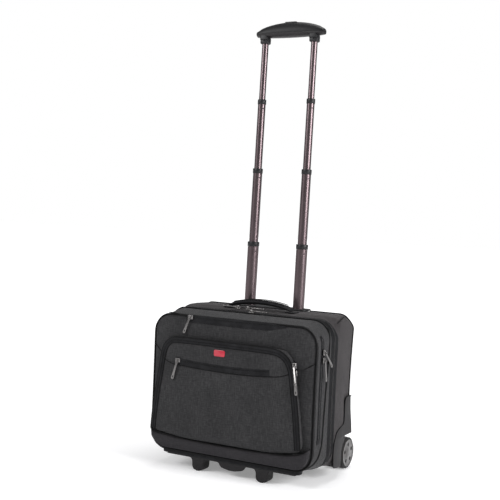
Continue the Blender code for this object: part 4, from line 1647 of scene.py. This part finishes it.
    def hinge(self) -> None:
        """The cloth strip along the bottom that the front section turns on."""
        z = self.outline.low + self.wall
        strip = Bench.box(
            "hinge_cloth", (-0.1600, self.zip_y - 0.0185, z + 0.3 * MM), (0.1600, self.zip_y + 0.0175, z + 1.3 * MM)
        )
        Bench.slice(strip, [((0, self.zip_y - 0.0185 + 0.002 * k, 0), (0, 1, 0)) for k in range(1, 18)])
        Bench.bevel_along(strip, 1, 0.4 * MM, 1)
        Bench.dress(strip, Finish.TAPE, None)
        self.zip_y + 0.0055
        self.zip_y - 0.0065
        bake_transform(strip)


# ---- Wheels, handle and zip hardware --------------------------------------------


@dataclass
class Wheel:
    """One wheel: tyre, hub, its domed cover with five holes, and the axle."""

    side: str
    cover_radius: float = 0.0312
    hole_radius: float = 0.0046
    hole_circle: float = 0.0200
    thickness: float = 0.0060
    sunk: float = 0.9 * MM

    def build(self) -> None:
        """Makes the cover and dresses the turned parts."""
        body = "wheel_" + self.side
        low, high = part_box("tyre_" + self.side)
        sign = 1 if low.x > 0 else -1
        centre = (low + high) / 2
        outer = high.x if sign > 0 else low.x
        axis = Vector((1, 0, 0))
        place = Vector((outer + sign * (self.thickness / 2 - self.sunk), centre.y, centre.z))
        cover = Bench.rod("wheel_cover_" + self.side, place, axis, self.cover_radius, self.thickness, 64)
        face = outer + sign * (self.thickness - self.sunk)
        Bench.edit(cover, "FACE", lambda f: abs(f.calc_center_median().x - face) < 1e-5)
        for step, rise in ((0.0022, -0.0012), (0.0020, 0.0), (0.0140, 0.0004), (0.0030, 0.0010), (0.0030, 0.0006)):
            bpy.ops.mesh.inset(thickness=step)
            bpy.ops.transform.translate(value=(sign * rise, 0, 0))
        Bench.close()
        Bench.merged(cover)
        for k in range(5):
            a = math.tau * (k + 0.3) / 5
            spot = (face, centre.y + self.hole_circle * math.cos(a), centre.z + self.hole_circle * math.sin(a))
            Bench.carve(cover, Bench.rod("hole", spot, axis, self.hole_radius, 0.010, 24))
        Bench.modify(cover, "BEVEL", width=0.35 * MM, segments=2, limit_method="ANGLE", angle_limit=math.radians(40))
        Bench.dress(cover, Finish.HUB, body)
        wall = Bench.rod(
            "wheel_wall_" + self.side, place - Vector((sign * 0.0012, 0, 0)), axis, (high.z - low.z) / 2 - 0.0006,
            self.thickness - 0.0016, 64
        )
        Bench.bevel_rim(wall, 0, place.x + sign * (self.thickness / 2 - 0.0020), 2.0 * MM, 4)
        Bench.dress(wall, Finish.RUBBER, body)
        paint("tyre_" + self.side, Finish.RUBBER, 0.6 * MM)
        paint("hub_" + self.side, Finish.PLASTIC, 0.4 * MM)
        paint("axle_" + self.side, Finish.STEEL, 0.3 * MM)


@dataclass
class PullHandle:
    """The telescopic handle: drawn tubes, collars, lock pins and the moulded grip."""

    pin_radius: float = 1.7 * MM
    pin_drop: float = 0.010

    def build(self) -> None:
        """Dresses the stages and makes the pins and the grip's small parts."""
        for side in ("left", "right"):
            paint("outer_tube_" + side, Finish.BRONZE)
            for stage in (1, 2, 3):
                paint(f"stage_{stage}_tube_{side}", Finish.BRONZE)
                paint(f"stage_{stage}_collar_{side}", Finish.PLASTIC, 0.5 * MM)
                self.pin(stage, side)
            paint("stage_4_tube_" + side, Finish.BRONZE)
            self.screw(side)
        paint("grip_underside", Finish.GRIP_LOW, 0.9 * MM)
        paint("grip_top", Finish.GRIP, 0.9 * MM)
        low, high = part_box("grip_button")
        button = Bench.copy_of("grip_button", "button_moulding")
        Bench.shift(button, lambda p: p - Vector((0, 0, 1.2 * MM * (p.z > (low.z + high.z) / 2))))
        Bench.modify(button, "BEVEL", width=1.1 * MM, segments=3, limit_method="ANGLE", angle_limit=math.radians(35))
        Bench.dress(button, Finish.PLASTIC, "button", ("grip_button",))

    def pin(self, stage: int, side: str) -> None:
        """The sprung lock pin that shows in its hole below a collar."""
        low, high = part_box(f"stage_{stage}_collar_{side}")
        tube_low, tube_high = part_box(f"stage_{stage}_tube_{side}")
        radius = (tube_high.x - tube_low.x) / 2
        facing = Vector((math.sin(math.radians(52)), -math.cos(math.radians(52)), 0))
        centre = Vector(((low.x + high.x) / 2, (low.y + high.y) / 2 - 0.0005, low.z - self.pin_drop))
        rod = Bench.rod(
            f"lock_pin_{stage}_{side}", centre + facing * (radius - 0.78 * MM), facing, self.pin_radius, 1.8 * MM, 20
        )
        Bench.modify(rod, "BEVEL", width=0.3 * MM, segments=3, limit_method="ANGLE")
        Bench.dress(rod, Finish.PLASTIC, f"handle_stage_{stage}")

    def screw(self, side: str) -> None:
        """The arched shoulder that joins a socket to the grip, and the small screw in its face."""
        low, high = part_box("grip_socket_" + side)
        middle, half = (low + high) / 2, 0.0108
        socket = Bench.copy_of("grip_socket_" + side, "socket_moulding_" + side)
        Bench.shift(
            socket, lambda p: Vector((middle.x + (p.x - middle.x) * 0.78, middle.y + (p.y - middle.y) * 0.76, p.z))
        )
        Bench.modify(socket, "BEVEL", width=0.8 * MM, segments=2, limit_method="ANGLE", angle_limit=math.radians(35))
        Bench.dress(socket, Finish.PLASTIC, "handle_stage_4", ("grip_socket_" + side,))
        low.y += 0.3 * MM
        arch = [(middle.x + half * math.cos(math.radians(a)), high.z - 0.0030 + 0.0150 * math.sin(math.radians(a))) for a in range(0, 181, 15)]
        shoulder = Thread.plate("socket_shoulder_" + side, arch, low.y, high.y - 0.0028, Plane.FRONT, 1.6 * MM)
        Bench.dress(shoulder, Finish.PLASTIC, "handle_stage_4")
        centre = Vector(((low.x + high.x) / 2, low.y + 0.0002, (low.z + high.z) / 2 + 0.002))
        head = Bench.rod("socket_screw_" + side, centre, Vector((0, -1, 0)), 0.0016, 0.0014, 24)
        Bench.modify(head, "BEVEL", width=0.5 * MM, segments=2, limit_method="ANGLE")
        for size in ((0.0018, 0.004, 0.0005), (0.0005, 0.004, 0.0018)):
            slot = Bench.box(
                "driver_slot", centre + Vector((-size[0] / 2, -0.0028, -size[2] / 2)),
                centre + Vector((size[0] / 2, -0.0004, size[2] / 2))
            )
            Bench.carve(head, slot)
        Bench.dress(head, Finish.PLASTIC, "handle_stage_4")


@dataclass
class ZipHardware:
    """One slider and its pull, with the bridge that the pull hangs from."""

    name: str
    reach: float = 0.0045
    rise: float = 0.0021
    wire: float = 0.95 * MM

    def build(self, joints: Sequence[dict[str, Any]]) -> None:
        """Dresses the two frame nodes and bends the bridge over the slider.

        Args:
            joints: The frame's joints, which say how the slider runs.
        """
        paint(self.name + "_slider", Finish.NICKEL, 0.7 * MM)
        found = {j["name"]: j for j in joints}
        along = Vector(found[self.name + "_slide"]["axis"]).normalized()
        swing = found[self.name + "_pull_swing"]
        pivot, axis = Vector(swing["pos_m"]), Vector(swing["axis"]).normalized()
        low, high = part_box(self.name + "_slider")
        centre = (low + high) / 2
        outward = pivot - centre
        outward = (outward - along * outward.dot(along)).normalized()
        side = axis.cross(outward).normalized()
        arch = []
        for k in range(9):
            a = math.pi * k / 8
            arch.append(pivot + side * (self.reach * math.cos(a)) + outward * (self.rise * math.sin(a) ** 0.6 - 0.0022 * (1 - math.sin(a))))
        self.pull(pivot, axis)
        bridge = Thread.cording(self.name + "_bridge", arch, self.wire, step=0.7 * MM)
        Bench.dress(bridge, Finish.NICKEL, self.name + "_slider")

    def pull(self, pivot: Vector, axis: Vector) -> None:
        """The slim cast pull: an eye round the bridge, a neck and a wider grip with a long slot.

        Args:
            pivot: Where it turns.
            axis: What it turns about.
        """
        node = bpy.data.objects[self.name + "_pull"]
        points = [v.co.copy() for v in node.data.vertices]
        along = sum((p - pivot for p in points), Vector()).normalized()
        along = (along - axis * along.dot(axis)).normalized()
        thick = axis.cross(along)
        start, length = (f((p - pivot).dot(along) for p in points) for f in (min, max))
        depth = max(abs((p - pivot).dot(thick)) for p in points)
        half = ((start, 0.0), (start + 0.0003, 0.0019), (0.0025, 0.0028), (0.0055, 0.0027), (0.0090, 0.0022), (0.45 * length, 0.0024),
                (length - 0.0140, 0.0029), (length - 0.0070, 0.0034), (length - 0.0022, 0.0032), (length - 0.0006, 0.0020), (length, 0.0))
        outline = list(half) + [(u, -w) for u, w in half[-2:0:-1]]
        piece = Thread.plate(self.name + "_pull_cast", outline, -depth, depth, Plane.TOP, 0.5 * MM, True, 1.2 * MM)
        slot = Bench.box("slot", (length - 0.0088, -0.0012, -0.01), (length - 0.0038, 0.0012, 0.01))
        Bench.bevel_along(slot, 2, 1.1 * MM, 3)
        Bench.carve(piece, slot)
        piece.matrix_world = Matrix.Translation(pivot) @ Matrix((along, axis, along.cross(axis))).transposed().to_4x4()
        Bench.take(piece)
        bpy.ops.object.transform_apply(location=True, rotation=True, scale=True)
        Bench.dress(piece, Finish.NICKEL, self.name + "_pull", (self.name + "_pull",))


# ---- Studio ---------------------------------------------------------------------


@dataclass
class Studio:
    """Pale floor, soft lights and the camera."""

    eye: Sequence[float] = (1.0548, -2.0200, 0.5900)
    azimuth: float = 28.3515
    elevation: float = 2.1320
    roll: float = 2.5496
    lens: float = 70.63

    def build(self) -> None:
        """Makes all of it."""
        scene = bpy.context.scene
        scene.view_settings.view_transform = "Standard"
        self.camera(scene)
        self.floor()
        world = bpy.data.worlds.new("studio")
        world.use_nodes = True
        tree = world.node_tree
        room = tree.nodes["Background"]
        seen, path, choice = (tree.nodes.new("ShaderNode" + kind) for kind in ("Background", "LightPath", "MixShader"))
        for wall, strength in ((room, 0.30), (seen, 1.0)):
            wall.inputs["Color"].default_value = (1.0, 1.0, 1.0, 1.0)
            wall.inputs["Strength"].default_value = strength
        tree.links.new(path.outputs["Is Camera Ray"], choice.inputs[0])
        tree.links.new(room.outputs[0], choice.inputs[1])
        tree.links.new(seen.outputs[0], choice.inputs[2])
        tree.links.new(choice.outputs[0], tree.nodes["World Output"].inputs["Surface"])
        scene.world = world
        self.lamp("key_softbox", (-2.1, -2.4, 2.2), 72.0, 1.4)
        self.lamp("side_softbox", (2.6, -0.4, 1.3), 75.0, 1.2)
        self.lamp("top_softbox", (0.2, 0.6, 2.9), 34.0, 1.6)

    def camera(self, scene: bpy.types.Scene) -> None:
        """Stands the camera where the case is seen from its front right."""
        a, e, roll = (math.radians(v) for v in (self.azimuth, self.elevation, self.roll))
        back = Vector((math.sin(a) * math.cos(e), -math.cos(a) * math.cos(e), math.sin(e)))
        right = Vector((math.cos(a), math.sin(a), 0))
        up = back.cross(right)
        r2 = right * math.cos(roll) + up * math.sin(roll)
        u2 = up * math.cos(roll) - right * math.sin(roll)
        data = bpy.data.cameras.new("camera")
        data.lens, data.sensor_width = self.lens, 36.0
        data.clip_start, data.clip_end = 0.05, 50.0
        made = bpy.data.objects.new("camera", data)
        scene.collection.objects.link(made)
        made.matrix_world = Matrix.Translation(self.eye) @ Matrix((r2, u2, back)).transposed().to_4x4()
        scene.camera = made

    def floor(self) -> None:
        """A pale floor that glows: painted light, dim beside the case and white far off, which also lights the case
        from below.
        """
        bpy.ops.object.select_all(action="DESELECT")
        bpy.ops.mesh.primitive_plane_add(size=40, location=(0, 0, 0))
        piece = Bench.settle("studio_floor")
        vat = Vat("pale_floor", 0.7, Specular_IOR_Level=0.2)
        soft = vat.noise((2.0, 2.0, 2.0), 2.0)
        vat.colour(vat.mix(soft, (0.86, 0.86, 0.87), (0.90, 0.90, 0.91)))
        x, y, _ = vat.parts()
        # Painted light: the floor glows, dim near the case and brightening to white far away, and this glow lights the
        # case's underside.
        far = (x * x + y * y).ramp(0.5, 9.0)
        vat.feed(vat.shader.inputs["Emission Color"], vat.mix(far, (0.28, 0.28, 0.28), (1.0, 1.0, 1.0)))
        vat.shader.inputs["Emission Strength"].default_value = 0.9
        piece.data.materials.append(vat.material)

    def lamp(self, name: str, place: Sequence[float], power: float, size: float) -> None:
        """A square softbox that faces the case."""
        data = bpy.data.lights.new(name, "AREA")
        data.energy, data.size = power, size
        made = bpy.data.objects.new(name, data)
        bpy.context.scene.collection.objects.link(made)
        made.location = place
        made.rotation_euler = (Vector((0, 0, 0.4)) - Vector(place)).to_track_quat("-Z", "Y").to_euler()


def main() -> None:
    """Builds the case round its frame."""
    logging.basicConfig(level=logging.INFO, format="%(message)s", force=True)
    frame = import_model()
    Studio().build()
    front = FrontSection()
    front.build()
    FrontPocket().build()
    RearSection(front=front.outline).build()
    for side in ("left", "right"):
        Wheel(side).build()
    PullHandle().build()
    for joint in frame["joints"]:
        if joint["name"].endswith("_pull_swing"):
            ZipHardware(joint["name"].removesuffix("_pull_swing")).build(frame["joints"])
    bpy.ops.object.select_all(action="DESELECT")


if __name__ == "__main__":
    main()
